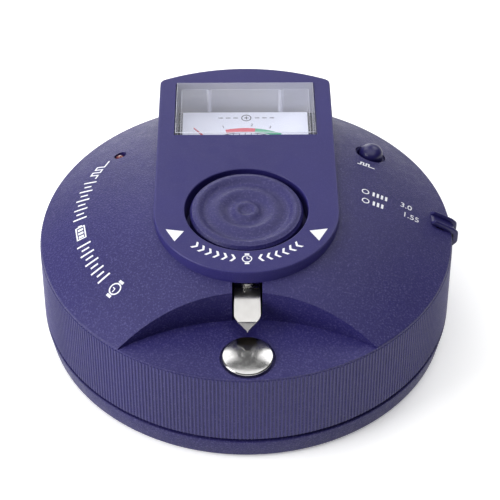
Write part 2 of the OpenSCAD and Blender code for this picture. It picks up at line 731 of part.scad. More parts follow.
// Domed cap on a stem, with a flange that the dome keeps in
module test_button() {
  top = dome_z(control_r) + button_rise;
  k = 2.2;                        // height of the cap's rounding
  color(indigo) translate([control_x, control_y, 0]) rotate_extrude($fn = 96)
    polygon(concat([[0, plunger_z], [1.8, plunger_z], [1.8, flange_z], [button_r + 1.3, flange_z],
      [button_r + 1.3, flange_z + flange_t]], [for (i = [-1:9]) i < 0 ? [button_r, flange_z + flange_t] :
      [button_r * cos(10 * i), top - k + k * sin(10 * i)]]));
}
module slide_switch() {
  color(steel) difference() {
    block(slide_x1 - slide_w, slide_x1, -slide_half, slide_half, board_top, board_top + slide_h);
    block(slide_x1 - slide_w + 1, slide_x1 + 1, -lever_half - selector_throw - 0.3,
      lever_half + selector_throw + 0.3, lever_z0 - 0.2, lever_z1 + 0.2);
  }
}
module switch_lever() {
  color(black) block(slide_x1 - slide_w + 1.4, stem_x0, -lever_half, lever_half, lever_z0, lever_z1);
}
// Saddle over the rim: side view extruded across, with two ribs and a stem to the switch
module selector_side(lift, y0, y1) {
  a0 = acos(selector_x0 / dome_r);
  a1 = acos((rim_r + 0.2) / dome_r);
  n = 8;
  low = rim_z - selector_drop;
  out = rim_r + selector_play + lift + 0.1;
  in = rim_r + selector_play + 0.2;
  top = [for (a = arc(0, dome_cz, dome_r + selector_play + lift, a0, a1, n)) a];
  under = [for (a = arc(0, dome_cz, dome_r + selector_play, a1, a0, n)) a];
  translate([0, y1, 0]) rotate([90, 0, 0]) linear_extrude(y1 - y0)
    polygon(concat(top, [[out, rim_z - 0.3], [out + 0.1, low + 1], [in + 0.15, low], [in, low],
      [in, rim_z + 0.1]], under));
}
module selector_knob() {
  color(indigo) {
    selector_side(selector_t, -selector_half, selector_half);
    for (y = [-rib_pitch / 2, rib_pitch / 2])
      selector_side(rib_rise + selector_t * 0.5, y - rib_half, y + rib_half);
    intersection() {
      block(stem_x0, stem_x1, -lever_half, lever_half, lever_z0, 60);
      translate([0, 0, dome_cz]) sphere(r = dome_r + selector_play + 0.2, $fn = 240);
    }
  }
}

// ---------- circuit board ----------
module circuit_board() {
  color("#2f6b3a") difference() {
    intersection() {
      union() {
        block(-60, 60, board_y0, board_y1, board_z, board_top);
        block(-8, 8, strip_screw_y - 3, board_y0 + 1, board_z, board_top);
      }
      translate([0, 0, board_z - 1]) cylinder(r = board_r, h = 5);
    }
    translate([0, pivot_y, board_z - 1]) cylinder(r = can_r + 0.7, h = 5);
    at_board_bosses(board_z - 1) cylinder(r = 1.2, h = 5, $fn = 24);
    for (s = [-1, 1]) translate([-control_x + s * leg_x, control_y, board_z - 1])
      cylinder(r = 0.45, h = 5, $fn = 16);
  }
}
module board_screws() {
  color(steel) at_board_bosses(board_z) screw(1.9, 1.2, 0.9, 6);
}
module ic_chips() {
  pin_pitch = 2.54;
  for (x = [-20, 20]) {
    color(black) block(x - 3.2, x + 3.2, -6.7, 2.7, board_top + 0.5, board_top + 3.8);
    color(nickel) for (s = [-1, 1], y = [-6.1:pin_pitch:1.6]) {
      block(x + s * 3.8 - 0.3, x + s * 3.8 + 0.3, y, y + 0.6, board_top, board_top + 2.2);
      block(min(x + s * 3.2, x + s * 3.5), max(x + s * 3.2, x + s * 3.5), y, y + 0.6,
        board_top + 1.8, board_top + 2.2);
    }
  }
}
module resistors() {
  color("#cdb083") for (s = [-1, 1], d = [5, 8, 11])
  translate([s * (board_boss_x + d), -slide_half - 4.7, board_top + 1.4]) {
    rotate([90, 0, 0]) translate([0, 0, -3]) cylinder(r = 1.1, h = 6, $fn = 32);
    for (e = [-1, 1]) {
      rotate([90, 0, 0]) translate([0, 0, e > 0 ? 3 : -4.5]) cylinder(r = 0.3, h = 1.5, $fn = 16);
      translate([0, e * 4.2, -1.4]) cylinder(r = 0.3, h = 1.4, $fn = 16);
    }
  }
}
// Their tops stay under the dome at the rear one's far side
module electrolytic_capacitors() {
  x = board_boss_x + 10;
  ys = [1, 7, 13];
  r = 2.5;
  h = dome_z(norm([x, ys[2]]) + r, wall) - board_top - 0.3;
  color("#26305c") for (y = ys) translate([-x, y, board_top]) cylinder(r = r, h = h, $fn = 48);
}
module ceramic_capacitors() {
  x = board_boss_x + 5;
  color("#c77a2c") for (p = [[x, 1], [x, 5], [x, 9], [-14, -19]]) translate([p[0], p[1], board_top + 2.6]) {
    rotate([90, 0, 0]) translate([0, 0, -0.8]) cylinder(r = 2.1, h = 1.6, $fn = 32);
    for (s = [-1, 1]) translate([s * 1.2, 0, -2.6]) cylinder(r = 0.25, h = 1.2, $fn = 16);
  }
}
module transistors() {
  for (x = [-20, 16, 22]) translate([x, -18, board_top]) {
    color(black) translate([0, 0, 1]) difference() {
      cylinder(r = 2.3, h = 4.5, $fn = 48);
      block(-3, 3, 1, 3, -1, 6);
    }
    color(nickel) for (s = [-1.2, 0, 1.2]) translate([s, 0, 0]) cylinder(r = 0.3, h = 1, $fn = 16);
  }
}
module trimmer_pot() {
  color("#2b5fa8") translate([-board_boss_x, 6, board_top]) difference() {
    block(-3.2, 3.2, -3.2, 3.2, 0, 4.6);
    translate([0, 0, 3.8]) difference() {
      cylinder(r = 2.2, h = 2, $fn = 48);
      cylinder(r = 1.8, h = 0.5, $fn = 48);
    }
    block(-1.6, 1.6, -0.3, 0.3, 3.7, 5);
  }
}

// ---------- battery ----------
module battery() {
  color("#3b3d42") translate([battery_x, battery_y, battery_mid_z]) rotate([0, 90, 0])
    round_block(-battery_h / 2, battery_h / 2, -battery_w / 2, battery_w / 2,
      -battery_l / 2, battery_l / 2, 2);
}
module battery_terminals() {
  color(nickel) for (s = [-1, 1]) translate([battery_x1, battery_y + s * 6.35, battery_mid_z])
    rotate([0, 90, 0]) cylinder(r = s > 0 ? 2.9 : 3.6, h = 3, $fn = s > 0 ? 48 : 6);
}
module battery_snap() {
  color(black) block(snap_x, snap_x + snap_t, battery_y - 12, battery_y + 12,
    battery_mid_z - 5.5, battery_mid_z + 5.5);
}
// Lead from the snap's side up to the board, its start given along the snap
module battery_lead(along) {
  x = snap_x + snap_t;
  y = battery_y + along;
  z = battery_mid_z;
  end = y - 8.8;
  wire([[x, y, z], [x + 0.5, y, z], [x + 1, y, z], [x + 1.7, y - 1.4, z + 0.9], [x + 1.4, y - 5, z + 4.5],
    [x, y - 8, board_z - 2.7], [x - 0.6, end, board_z - 1.6], [x - 0.6, end, board_z - 0.8],
    [x - 0.6, end, board_z]], 0.65, [1, 0.3, 0]);
}
module red_lead() {
  color("#c02020") battery_lead(-5);
}
module black_lead() {
  color("#1c1c1e") battery_lead(-8);
}
// Door in the floor: its round front edge turns on two pins, and grip grooves run near its rear edge
module battery_door() {
  color(indigo) {
    difference() {
      block(bay_x0 + door_gap, bay_x1 - door_gap, hinge_y, bay_y1 - door_gap, foot_lift, foot_lift + door_t);
      for (i = [0:4]) block(-9, 9, bay_y1 - 3.4 - 1.5 * i, bay_y1 - 2.7 - 1.5 * i, -1, foot_lift + 0.5);
    }
    door_pin(door_t / 2, bay_x0 + door_gap, bay_x1 - door_gap);
    door_pin(pin_r, bay_x0 - pin_l, bay_x1 + pin_l);
  }
}
module door_foam() {
  color("#606064") block(battery_x - 18, battery_x + 18, battery_y - 9, battery_y + 9,
    foot_lift + door_t, battery_z - 0.2);
}

top_cover();
base_shell();
watch_platform();
sensor_disc();
meter_cover();
meter_body();
meter_dial();
meter_magnet();
meter_yoke();
core_holder();
meter_bridge();
hairspring();
meter_needle();
moving_coil();
needle_staff();
meter_terminals();
meter_leads();
meter_clamps();
meter_screws();
cell_contact();
contact_tag();
contact_nut();
contact_lead();
strip_post();
strip_root();
contact_strip();
strip_screw();
led();
led_legs();
coil_bobbin();
coil_winding();
coil_core();
coil_leads();
circuit_board();
ic_chips();
resistors();
electrolytic_capacitors();
ceramic_capacitors();
transistors();
trimmer_pot();
tact_switch();
switch_plunger();
test_button();
slide_switch();
switch_lever();
selector_knob();
board_screws();
platform_screws();
case_screws();
battery();
battery_terminals();
battery_snap();
red_lead();
black_lead();
battery_door();
door_foam();
rubber_feet();
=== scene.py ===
import json
import math
from math import cos, pi, radians, sin, sqrt, tau

import bmesh
import bpy
from bpy.props import FloatProperty, FloatVectorProperty, IntProperty, PointerProperty
from mathutils import Matrix, Vector

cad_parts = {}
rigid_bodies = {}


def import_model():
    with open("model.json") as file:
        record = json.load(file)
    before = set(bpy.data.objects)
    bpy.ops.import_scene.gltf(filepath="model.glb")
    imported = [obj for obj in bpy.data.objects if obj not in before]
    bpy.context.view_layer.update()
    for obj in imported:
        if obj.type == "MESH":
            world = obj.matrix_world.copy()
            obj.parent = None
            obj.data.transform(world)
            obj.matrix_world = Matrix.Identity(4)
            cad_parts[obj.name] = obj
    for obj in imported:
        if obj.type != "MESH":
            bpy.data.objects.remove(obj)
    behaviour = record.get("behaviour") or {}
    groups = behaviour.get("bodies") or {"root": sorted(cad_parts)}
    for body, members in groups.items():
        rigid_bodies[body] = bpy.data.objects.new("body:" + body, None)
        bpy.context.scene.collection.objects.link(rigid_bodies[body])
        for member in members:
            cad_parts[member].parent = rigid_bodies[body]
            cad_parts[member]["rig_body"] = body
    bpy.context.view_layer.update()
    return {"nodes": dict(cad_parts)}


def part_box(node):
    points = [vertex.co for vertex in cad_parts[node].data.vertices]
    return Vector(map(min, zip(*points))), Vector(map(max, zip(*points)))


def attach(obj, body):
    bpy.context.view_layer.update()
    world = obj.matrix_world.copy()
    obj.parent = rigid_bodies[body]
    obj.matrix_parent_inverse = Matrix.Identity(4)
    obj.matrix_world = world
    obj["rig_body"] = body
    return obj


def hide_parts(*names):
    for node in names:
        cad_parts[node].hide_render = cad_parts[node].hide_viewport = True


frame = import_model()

bl_info = {
    "name": "Watch and Button Cell Tester",
    "version": (1, 0, 0),
    "blender": (4, 5, 0),
    "location": "View3D > Sidebar > Tester",
    "description": "Builds the looks of a round bench tester around its packed frame",
    "category": "Object",
}

MM = 0.001
nodes = frame["nodes"]


# ---------------------------------------------------------------- places, from the frame

def middle(node):
    low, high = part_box(node)
    return (low + high) / 2


cover_low, cover_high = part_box("top_cover")
plat_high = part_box("watch_platform")[1]
contact_low, contact_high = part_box("cell_contact")

SEAM_R = cover_high.x                      # widest radius of the side wall
RIM_R = SEAM_R - 0.5 * MM                  # radius of the wall's top edge
RIM_Z = contact_high.z - 1.4 * MM          # height of the wall's top edge
SEAM_TOP = cover_low.z
WALL = 2 * MM
DOME_R = 98 * MM
DOME_CZ = RIM_Z - sqrt(DOME_R ** 2 - RIM_R ** 2)
RIB_DEPTH = 0.22 * MM                      # the wall's ribs stand on a root this much inside the CAD wall

PLAT_TOP = plat_high.z
PLAT_HALF = plat_high.x
PAD_Y = middle("sensor_disc").y
PAD_R = 13.6 * MM
PAD_HOLE = PAD_R + 1.2 * MM
COLLAR_Z = PLAT_TOP - 6 * MM

ARCH_Y = -(RIM_R - 19.2 * MM)
ARCH_R = 52 * MM
ARCH_CY = ARCH_Y - ARCH_R
CONTACT_Y = middle("cell_contact").y

BUTTON = middle("test_button")
LAMP = middle("led")
BUTTON_HOLE = 3.75 * MM
LAMP_HOLE = 1.6 * MM

meter_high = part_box("meter_cover")[1]
dial_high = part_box("meter_dial")[1]
WIN_GAP = 0.3 * MM
WIN_X = meter_high.x + WIN_GAP
WIN_Y1 = meter_high.y + WIN_GAP
WIN_Y0 = WIN_Y1 - 21.5 * MM
PIVOT = middle("needle_staff")

CASE_SEGMENTS = 364                        # facets round the case, one to each rib
ARCH_SEGMENTS = 720
BASE_LIFT = 0.8 * MM                       # the base stands this far above the table
FOOT_RING = RIM_R - 8.8 * MM
PLATE_T = 0.02 * MM                        # thickness of the printed marks
ABOVE = 20 * MM                            # how far cutters reach past what they cut
MERGE = 1e-7                               # points closer than this, in metres, are one


def dome_z(r):
    """Height of the dome above a point r from the body's axis."""
    return DOME_CZ + sqrt(DOME_R ** 2 - r * r)


def polar(r, degrees, centre=(0.0, 0.0)):
    """The point at a distance and an angle from a centre."""
    return centre[0] + r * cos(radians(degrees)), centre[1] + r * sin(radians(degrees))


def on_dome(x, y, lift=0.0):
    return Vector((x, y, dome_z(math.hypot(x, y)) + lift))


# ---------------------------------------------------------------- settings

class TESTER_PG_case(bpy.types.PropertyGroup):
    rib_count: IntProperty(name="Ribs", description="Ribs around the side wall", default=CASE_SEGMENTS,
                           min=60)
    rib_radius: FloatProperty(name="Rib radius", description="Radius of each rib", default=0.27 * MM,
                              unit="LENGTH", precision=5)
    edge: FloatProperty(name="Edge", description="Rounding of the moulded edges", default=0.5 * MM,
                        unit="LENGTH", precision=5)
    colour: FloatVectorProperty(name="Plastic", description="Colour of the case", subtype="COLOR",
                                default=(0.0170, 0.0132, 0.106), min=0, max=1)


class TESTER_PG_print(bpy.types.PropertyGroup):
    lift: FloatProperty(name="Ink lift", description="Height of the ink above the plastic", default=0.03 * MM,
                        unit="LENGTH", precision=5)
    ink: FloatVectorProperty(name="Ink", description="Colour of the printed marks", subtype="COLOR",
                             default=(0.86, 0.87, 0.93), min=0, max=1)


class TESTER_PG_dial(bpy.types.PropertyGroup):
    band_r: FloatProperty(name="Band radius", description="Outer radius of the coloured band",
                          default=20.3 * MM, unit="LENGTH", precision=5)
    band_w: FloatProperty(name="Band width", description="Width of the coloured band", default=1.6 * MM,
                          unit="LENGTH", precision=5)
    low_colour: FloatVectorProperty(name="Low", description="Colour of the low end", subtype="COLOR",
                                    default=(0.72, 0.05, 0.08), min=0, max=1)
    good_colour: FloatVectorProperty(name="Good", description="Colour of the good end", subtype="COLOR",
                                     default=(0.06, 0.42, 0.22), min=0, max=1)


class TESTER_PG_stage(bpy.types.PropertyGroup):
    distance: FloatProperty(name="Camera distance", description="Camera to the body's middle",
                            default=388.7 * MM, unit="LENGTH")
    elevation: FloatProperty(name="Camera elevation", description="Camera's angle above the table",
                             default=radians(42.68), subtype="ANGLE")
    azimuth: FloatProperty(name="Camera azimuth", description="Camera's turn about the object",
                           default=radians(-0.42), subtype="ANGLE")
    lens: FloatProperty(name="Lens", description="Focal length in millimetres", default=111.28)
    shift: FloatProperty(name="Shift", description="Sideways shift of the frame", default=0.0075)


# ---------------------------------------------------------------- shader groups

def new_group(name, inputs, outputs):
    tree = bpy.data.node_groups.new(name, "ShaderNodeTree")
    for label, kind, value in inputs:
        socket = tree.interface.new_socket(name=label, in_out="INPUT", socket_type=kind)
        socket.default_value = value
    for label, kind in outputs:
        tree.interface.new_socket(name=label, in_out="OUTPUT", socket_type=kind)
    return tree, tree.nodes.new("NodeGroupInput"), tree.nodes.new("NodeGroupOutput")


def put(tree, socket, value):
    """Sets a socket to a number or a colour, or links it to another node's output."""
    if isinstance(value, bpy.types.NodeSocket):
        tree.links.new(value, socket)
    else:
        socket.default_value = value


def noise(tree, coords, scale, detail=2.0, rough=0.5):
    node = tree.nodes.new("ShaderNodeTexNoise")
    for label, value in (("Vector", coords), ("Scale", scale), ("Detail", detail), ("Roughness", rough)):
        put(tree, node.inputs[label], value)
    return node.outputs["Fac"]


def math_node(tree, operation, a, b=None, clamp=False):
    node = tree.nodes.new("ShaderNodeMath")
    node.operation = operation
    node.use_clamp = clamp
    put(tree, node.inputs[0], a)
    if b is not None:
        put(tree, node.inputs[1], b)
    return node.outputs[0]


def mix_colour(tree, factor, a, b):
    node = tree.nodes.new("ShaderNodeMix")
    node.data_type = "RGBA"
    for socket, value in ((node.inputs[0], factor), (node.inputs[6], a), (node.inputs[7], b)):
        put(tree, socket, value)
    return node.outputs[2]


def map_range(tree, value, low_in, high_in, low_out, high_out):
    node = tree.nodes.new("ShaderNodeMapRange")
    numbers = {"Value": value, "From Min": low_in, "From Max": high_in, "To Min": low_out, "To Max": high_out}
    for label, number in numbers.items():
        put(tree, node.inputs[label], number)
    return node.outputs[0]


def object_coords(tree):
    return tree.nodes.new("ShaderNodeTexCoord").outputs["Object"]


def grain_group():
    """Moulded plastic: spark-eroded pits, slight tone drift, painted highlight specks on the grain's peaks
    and rubbed spots.
    """
    tree, gin, gout = new_group("Moulded Grain And Painted Glints", [
        ("Colour", "NodeSocketColor", (0.1, 0.1, 0.3, 1)), ("Grain Scale", "NodeSocketFloat", 2600.0),
        ("Grain", "NodeSocketFloat", 1.0), ("Base Roughness", "NodeSocketFloat", 0.45),
        ("Rub", "NodeSocketFloat", 0.15)],
        [("Colour", "NodeSocketColor"), ("Roughness", "NodeSocketFloat"), ("Height", "NodeSocketFloat")])
    coords = object_coords(tree)
    fine = noise(tree, coords, gin.outputs["Grain Scale"], 2.5, 0.65)
    mid = noise(tree, coords, 420.0, 3.0)
    drift = noise(tree, coords, 38.0, 2.0)
    peaks = map_range(tree, fine, 0.42, 0.72, 0.0, 1.0)
    height = math_node(tree, "MULTIPLY", peaks, gin.outputs["Grain"])
    tree.links.new(height, gout.inputs["Height"])
    tone = map_range(tree, drift, 0.3, 0.7, 0.93, 1.07)
    # Pale specks where the fine grain peaks are painted highlights, standing in for glints of light on the
    # grain.
    painted_glint = map_range(tree, fine, 0.52, 0.74, 0.0, 0.38)
    painted_glint = math_node(tree, "MULTIPLY", painted_glint, gin.outputs["Grain"])
    hsv = tree.nodes.new("ShaderNodeHueSaturation")
    tree.links.new(gin.outputs["Colour"], hsv.inputs["Color"])
    tree.links.new(tone, hsv.inputs["Value"])
    pale = mix_colour(tree, painted_glint, hsv.outputs[0], (0.17, 0.15, 0.38, 1))
    tree.links.new(pale, gout.inputs["Colour"])
    rub = map_range(tree, mid, 0.35, 0.7, 0.0, 1.0)
    rub = math_node(tree, "MULTIPLY", rub, gin.outputs["Rub"])
    rough = math_node(tree, "ADD", gin.outputs["Base Roughness"], rub, clamp=True)
    tree.links.new(rough, gout.inputs["Roughness"])
    return tree


def brush_group():
    """Metal finish: fine scratches along one axis, smudges and faint tarnish."""
    tree, gin, gout = new_group("Metal Finish", [
        ("Colour", "NodeSocketColor", (0.7, 0.7, 0.7, 1)), ("Stretch", "NodeSocketVector", (1.0, 1.0, 1.0)),
        ("Scratch Scale", "NodeSocketFloat", 1500.0), ("Base Roughness", "NodeSocketFloat", 0.2),
        ("Smudge", "NodeSocketFloat", 0.1)],
        [("Colour", "NodeSocketColor"), ("Roughness", "NodeSocketFloat"), ("Height", "NodeSocketFloat")])
    coords = object_coords(tree)
    stretch = tree.nodes.new("ShaderNodeVectorMath")
    stretch.operation = "MULTIPLY"
    tree.links.new(coords, stretch.inputs[0])
    tree.links.new(gin.outputs["Stretch"], stretch.inputs[1])
    scratch = noise(tree, stretch.outputs[0], gin.outputs["Scratch Scale"], 3.0, 0.6)
    smudge = noise(tree, coords, 260.0, 4.0, 0.6)
    tree.links.new(scratch, gout.inputs["Height"])
    stain = map_range(tree, smudge, 0.4, 0.75, 0.0, 1.0)
    stain = math_node(tree, "MULTIPLY", stain, gin.outputs["Smudge"])
    rough = math_node(tree, "ADD", gin.outputs["Base Roughness"], stain)
    streak = map_range(tree, scratch, 0.3, 0.7, -0.04, 0.05)
    tree.links.new(math_node(tree, "ADD", rough, streak, clamp=True), gout.inputs["Roughness"])
    dull = mix_colour(tree, stain, gin.outputs["Colour"], (0.45, 0.43, 0.4, 1))
    tree.links.new(dull, gout.inputs["Colour"])
    return tree


GROUPS = {}


def group(name):
    """The shared shader group of that name, built once."""
    makers = {"grain": grain_group, "finish": brush_group}
    if name not in GROUPS:
        GROUPS[name] = makers[name]()
    return GROUPS[name]


# ---------------------------------------------------------------- materials

MATERIALS = {}


def start_material(name):
    mat = bpy.data.materials.new(name)
    mat.use_nodes = True
    MATERIALS[name] = mat
    return mat, mat.node_tree, mat.node_tree.nodes["Principled BSDF"]


def grouped_material(name, kind, bump, values):
    """A material whose colour, roughness and relief come from the shared group of that kind."""
    mat, tree, shader = start_material(name)
    part = tree.nodes.new("ShaderNodeGroup")
    part.node_tree = group(kind)
    for label, value in values.items():
        part.inputs[label].default_value = value
    relief = tree.nodes.new("ShaderNodeBump")
    relief.inputs["Distance"].default_value = bump * MM
    put(tree, relief.inputs["Height"], part.outputs["Height"])
    put(tree, shader.inputs["Base Color"], part.outputs["Colour"])
    put(tree, shader.inputs["Roughness"], part.outputs["Roughness"])
    put(tree, shader.inputs["Normal"], relief.outputs[0])
    return mat, shader


def plastic(name, colour, rough=0.45, grain=1.0, scale=2600.0, bump=0.02, rub=0.12, coat=0.0, specular=0.5):
    # grain sets the depth of the grain and also the strength of its painted highlight specks.
    """Moulded plastic with the shared grain."""
    if name in MATERIALS:
        return MATERIALS[name]
    mat, shader = grouped_material(name, "grain", bump, {
        "Colour": (*colour, 1), "Grain Scale": scale, "Grain": grain, "Base Roughness": rough, "Rub": rub})
    shader.inputs["Specular IOR Level"].default_value = specular
    shader.inputs["Coat Weight"].default_value = coat
    shader.inputs["Coat Roughness"].default_value = 0.08
    return mat


def metal(name, colour, rough=0.2, stretch=(1, 1, 1), scale=1500.0, bump=0.002, smudge=0.08, metallic=1.0):
    """Plated or bare metal with the shared finish."""
    if name in MATERIALS:
        return MATERIALS[name]
    mat, shader = grouped_material(name, "finish", bump, {
        "Colour": (*colour, 1), "Stretch": stretch, "Scratch Scale": scale, "Base Roughness": rough,
        "Smudge": smudge})
    shader.inputs["Metallic"].default_value = metallic
    return mat


def clear_plastic(name, alpha, pale):
    """Clear styrene of the meter's case, slightly milky; each skin of its walls lets most light through."""
    mat, tree, shader = start_material(name)
    haze = noise(tree, object_coords(tree), 180.0, 3.0)
    cool, light = (0.84 * pale, 0.85 * pale, pale, 1), (0.92 * pale, 0.93 * pale, pale, 1)
    put(tree, shader.inputs["Roughness"], map_range(tree, haze, 0.3, 0.8, 0.03, 0.12))
    put(tree, shader.inputs["Base Color"], mix_colour(tree, haze, cool, light))
    shader.inputs["Alpha"].default_value = alpha
    return mat


def lamp_epoxy():
    """Red-tinted epoxy of the lamp, mottled between a darker and a lighter red."""
    mat, tree, shader = start_material("lamp_epoxy")
    cloud = noise(tree, object_coords(tree), 900.0)
    tint = mix_colour(tree, cloud, (0.075, 0.006, 0.008, 1), (0.19, 0.016, 0.02, 1))
    put(tree, shader.inputs["Base Color"], tint)
    put(tree, shader.inputs["Roughness"], map_range(tree, cloud, 0.3, 0.7, 0.08, 0.2))
    shader.inputs["Coat Weight"].default_value = 0.8
    return mat


# How much lighter or darker each copy of the case's plastic is than the case's colour, and how it is grained.
# The lighter copies on the platform and the wall's ribs are painted light, the darker copies on the base, the
# button and the selector are painted shade.
CASE_FINISHES_AND_PAINTED_LIGHT = {
    "case_textured": (1.0, dict(rough=0.40, scale=2300.0, bump=0.06, rub=0.1, specular=0.38)),
    "case_base_painted_shade": (0.85, dict(rough=0.42, scale=2300.0, bump=0.06, rub=0.1, specular=0.3)),
    "case_satin_painted_light": (1.14, dict(rough=0.36, grain=0.35, scale=3400.0, bump=0.006, rub=0.1, specular=0.38)),
    "pad_grained": (1.0, dict(rough=0.42, grain=0.8, scale=1900.0, bump=0.05, rub=0.1, specular=0.42)),
    "case_ribbed_painted_light": (1.2, dict(rough=0.3, grain=0.3, scale=3000.0, bump=0.006, rub=0.1, specular=0.45)),
    "case_gloss_painted_shade": (0.85, dict(rough=0.29, grain=0.1, scale=3000.0, bump=0.002, rub=0.06, specular=0.42)),
}


def case_plastic(name):
    # The ratio paints light or shade into the case's colour; 1 leaves the colour as it is.
    painted_light_ratio, look = CASE_FINISHES_AND_PAINTED_LIGHT[name]
    return plastic(name, tuple(painted_light_ratio * c for c in bpy.context.scene.tester_case.colour), **look)


def ink(name="white_ink", colour=None):
    chosen = colour or tuple(bpy.context.scene.tester_print.ink)
    return plastic(name, chosen, rough=0.5, grain=0.25, scale=5000.0, bump=0.003, rub=0.1)


# ---------------------------------------------------------------- mesh helpers

def link(data, name):
    piece = bpy.data.objects.new(name, data)
    bpy.context.scene.collection.objects.link(piece)
    return piece


def smooth(piece, angle=35):
    mesh = piece.data
    mesh.shade_smooth()
    mesh.set_sharp_from_angle(angle=radians(angle))


def as_piece(bm, name):
    mesh = bpy.data.meshes.new(name)
    bm.to_mesh(mesh)
    bm.free()
    return link(mesh, name)


def paint(piece, material):
    piece.data.materials.clear()
    piece.data.materials.append(material)


def merge(bm):
    bmesh.ops.remove_doubles(bm, verts=bm.verts, dist=MERGE)


def finish_mesh(bm, name, material, angle=35, recalc=True):
    """Merges, turns the faces outwards and links the mesh with its material."""
    merge(bm)
    if recalc:
        bmesh.ops.recalc_face_normals(bm, faces=bm.faces)
    piece = as_piece(bm, name)
    paint(piece, material)
    smooth(piece, angle)
    return piece


def lathe(profile, segments, centre=(0.0, 0.0), closed=False):
    """Turns a profile of (radius, height) points about a vertical axis. Points on the axis become poles."""
    bm = bmesh.new()
    rings = []
    for r, z in profile:
        if r < MERGE:
            rings.append([bm.verts.new((centre[0], centre[1], z))])
        else:
            turns = [tau * i / segments for i in range(segments)]
            rings.append([bm.verts.new((centre[0] + r * cos(a), centre[1] + r * sin(a), z)) for a in turns])
    pairs = list(zip(rings, rings[1:]))
    if closed:
        pairs.append((rings[-1], rings[0]))
    for a, b in pairs:
        for i in range(segments):
            j = (i + 1) % segments
            corners = [a[i % len(a)], a[j % len(a)], b[j % len(b)], b[i % len(b)]]
            unique = list(dict.fromkeys(corners))
            if len(unique) > 2:
                bm.faces.new(unique)
    return bm


def loft(loops):
    """Skins loops of equally many points, closing both ends with a face."""
    bm = bmesh.new()
    rings = [[bm.verts.new(p) for p in loop] for loop in loops]
    for a, b in zip(rings, rings[1:]):
        for i in range(len(a)):
            j = (i + 1) % len(a)
            bm.faces.new((a[i], a[j], b[j], b[i]))
    bm.faces.new(rings[0])
    bm.faces.new(rings[-1])
    return bm


def fillet(r, z, k, start, end, steps=4):
    """Points of a round of radius k about (r, z), from angle start to end in degrees."""
    return [polar(k, start + (end - start) * i / steps, (r, z)) for i in range(steps + 1)]


def temp(bm, name="cutter"):
    merge(bm)
    bmesh.ops.recalc_face_normals(bm, faces=bm.faces)
    return as_piece(bm, name)


def carve(piece, cutters, operation="DIFFERENCE"):
    """Applies exact booleans with temporary objects and removes them."""
    for cutter in cutters:
        mod = piece.modifiers.new("cut", "BOOLEAN")
        mod.solver = "EXACT"
        mod.operation = operation
        mod.object = cutter
        apply_modifiers(piece)
        bpy.data.objects.remove(cutter)


def apply_modifiers(piece):
    """Turns the evaluated piece into its own plain mesh."""
    bpy.context.view_layer.update()
    done = bpy.data.meshes.new_from_object(piece.evaluated_get(bpy.context.evaluated_depsgraph_get()))
    piece.modifiers.clear()
    old = piece.data
    done.name = old.name
    piece.data = done
    bpy.data.meshes.remove(old)


def cylinder(r, z0, z1, centre=(0.0, 0.0), segments=96):
    return temp(lathe([(0, z0), (r, z0), (r, z1), (0, z1)], segments, centre))


def flared_hole(r, z0, z1, top, k, centre=(0.0, 0.0), segments=180):
    """Cutter of a round hole whose mouth at height top is rounded by k."""
    mouth = [(r + k - k * cos(radians(a)), top - k + k * sin(radians(a))) for a in (0, 22, 45, 68, 90)]
    return temp(lathe([(0, z0), (r, z0)] + mouth + [(r + k, z1), (0, z1)], segments, centre))


def rect_loop(x0, x1, y0, y1, z, r, steps=4):
    """Rounded rectangle at height z."""
    points = []
    corners = ((x1 - r, y1 - r, 0), (x0 + r, y1 - r, 90), (x0 + r, y0 + r, 180), (x1 - r, y0 + r, 270))
    for cx, cy, a in corners:
        points += [(x, y, z) for x, y in fillet(cx, cy, r, a, a + 90, steps)]
    return points


def box_cutter(x0, x1, y0, y1, z0, z1, r=0.0001):
    return temp(loft([rect_loop(x0, x1, y0, y1, z0, r, 2), rect_loop(x0, x1, y0, y1, z1, r, 2)]))


def merged_copy(node, name):
    """A clean copy of a CAD node's mesh, with its flat faces joined."""
    bm = bmesh.new()
    bm.from_mesh(nodes[node].data)
    bmesh.ops.remove_doubles(bm, verts=bm.verts, dist=2e-6)
    bmesh.ops.dissolve_limit(bm, angle_limit=radians(1), verts=bm.verts, edges=bm.edges)
    return as_piece(bm, name)


def even_shading(piece):
    """Lets broad flat faces keep their own normals beside narrow rounds."""
    mod = piece.modifiers.new("normals", "WEIGHTED_NORMAL")
    mod.weight = 100
    mod.keep_sharp = True
    apply_modifiers(piece)


def bevelled(piece, width, angle=40):
    mod = piece.modifiers.new("round", "BEVEL")
    mod.width = width
    mod.segments = 2
    mod.limit_method = "ANGLE"
    mod.angle_limit = radians(angle)
    apply_modifiers(piece)


def rounded_node(node, name, material, width):
    """Stands for a CAD node with the same shape and softened edges."""
    piece = merged_copy(node, name)
    bevelled(piece, width)
    paint(piece, material)
    smooth(piece)
    ride_for(piece, node)
    return piece


def ride_for(piece, *replaced):
    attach(piece, nodes[replaced[0]]["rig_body"])
    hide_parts(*replaced)


def dress(material, *names):
    """Gives CAD nodes their material."""
    for name in names:
        paint(nodes[name], material)


# ---------------------------------------------------------------- case

def dome_profile(inset, steps=28):
    """Rounded line from the axis over the dome to the rim, moved in by inset."""
    r_end = RIM_R - inset
    radii = [r_end * i / steps for i in range(steps + 1)]
    return [(r, DOME_CZ + sqrt((DOME_R - inset) ** 2 - r ** 2)) for r in radii]


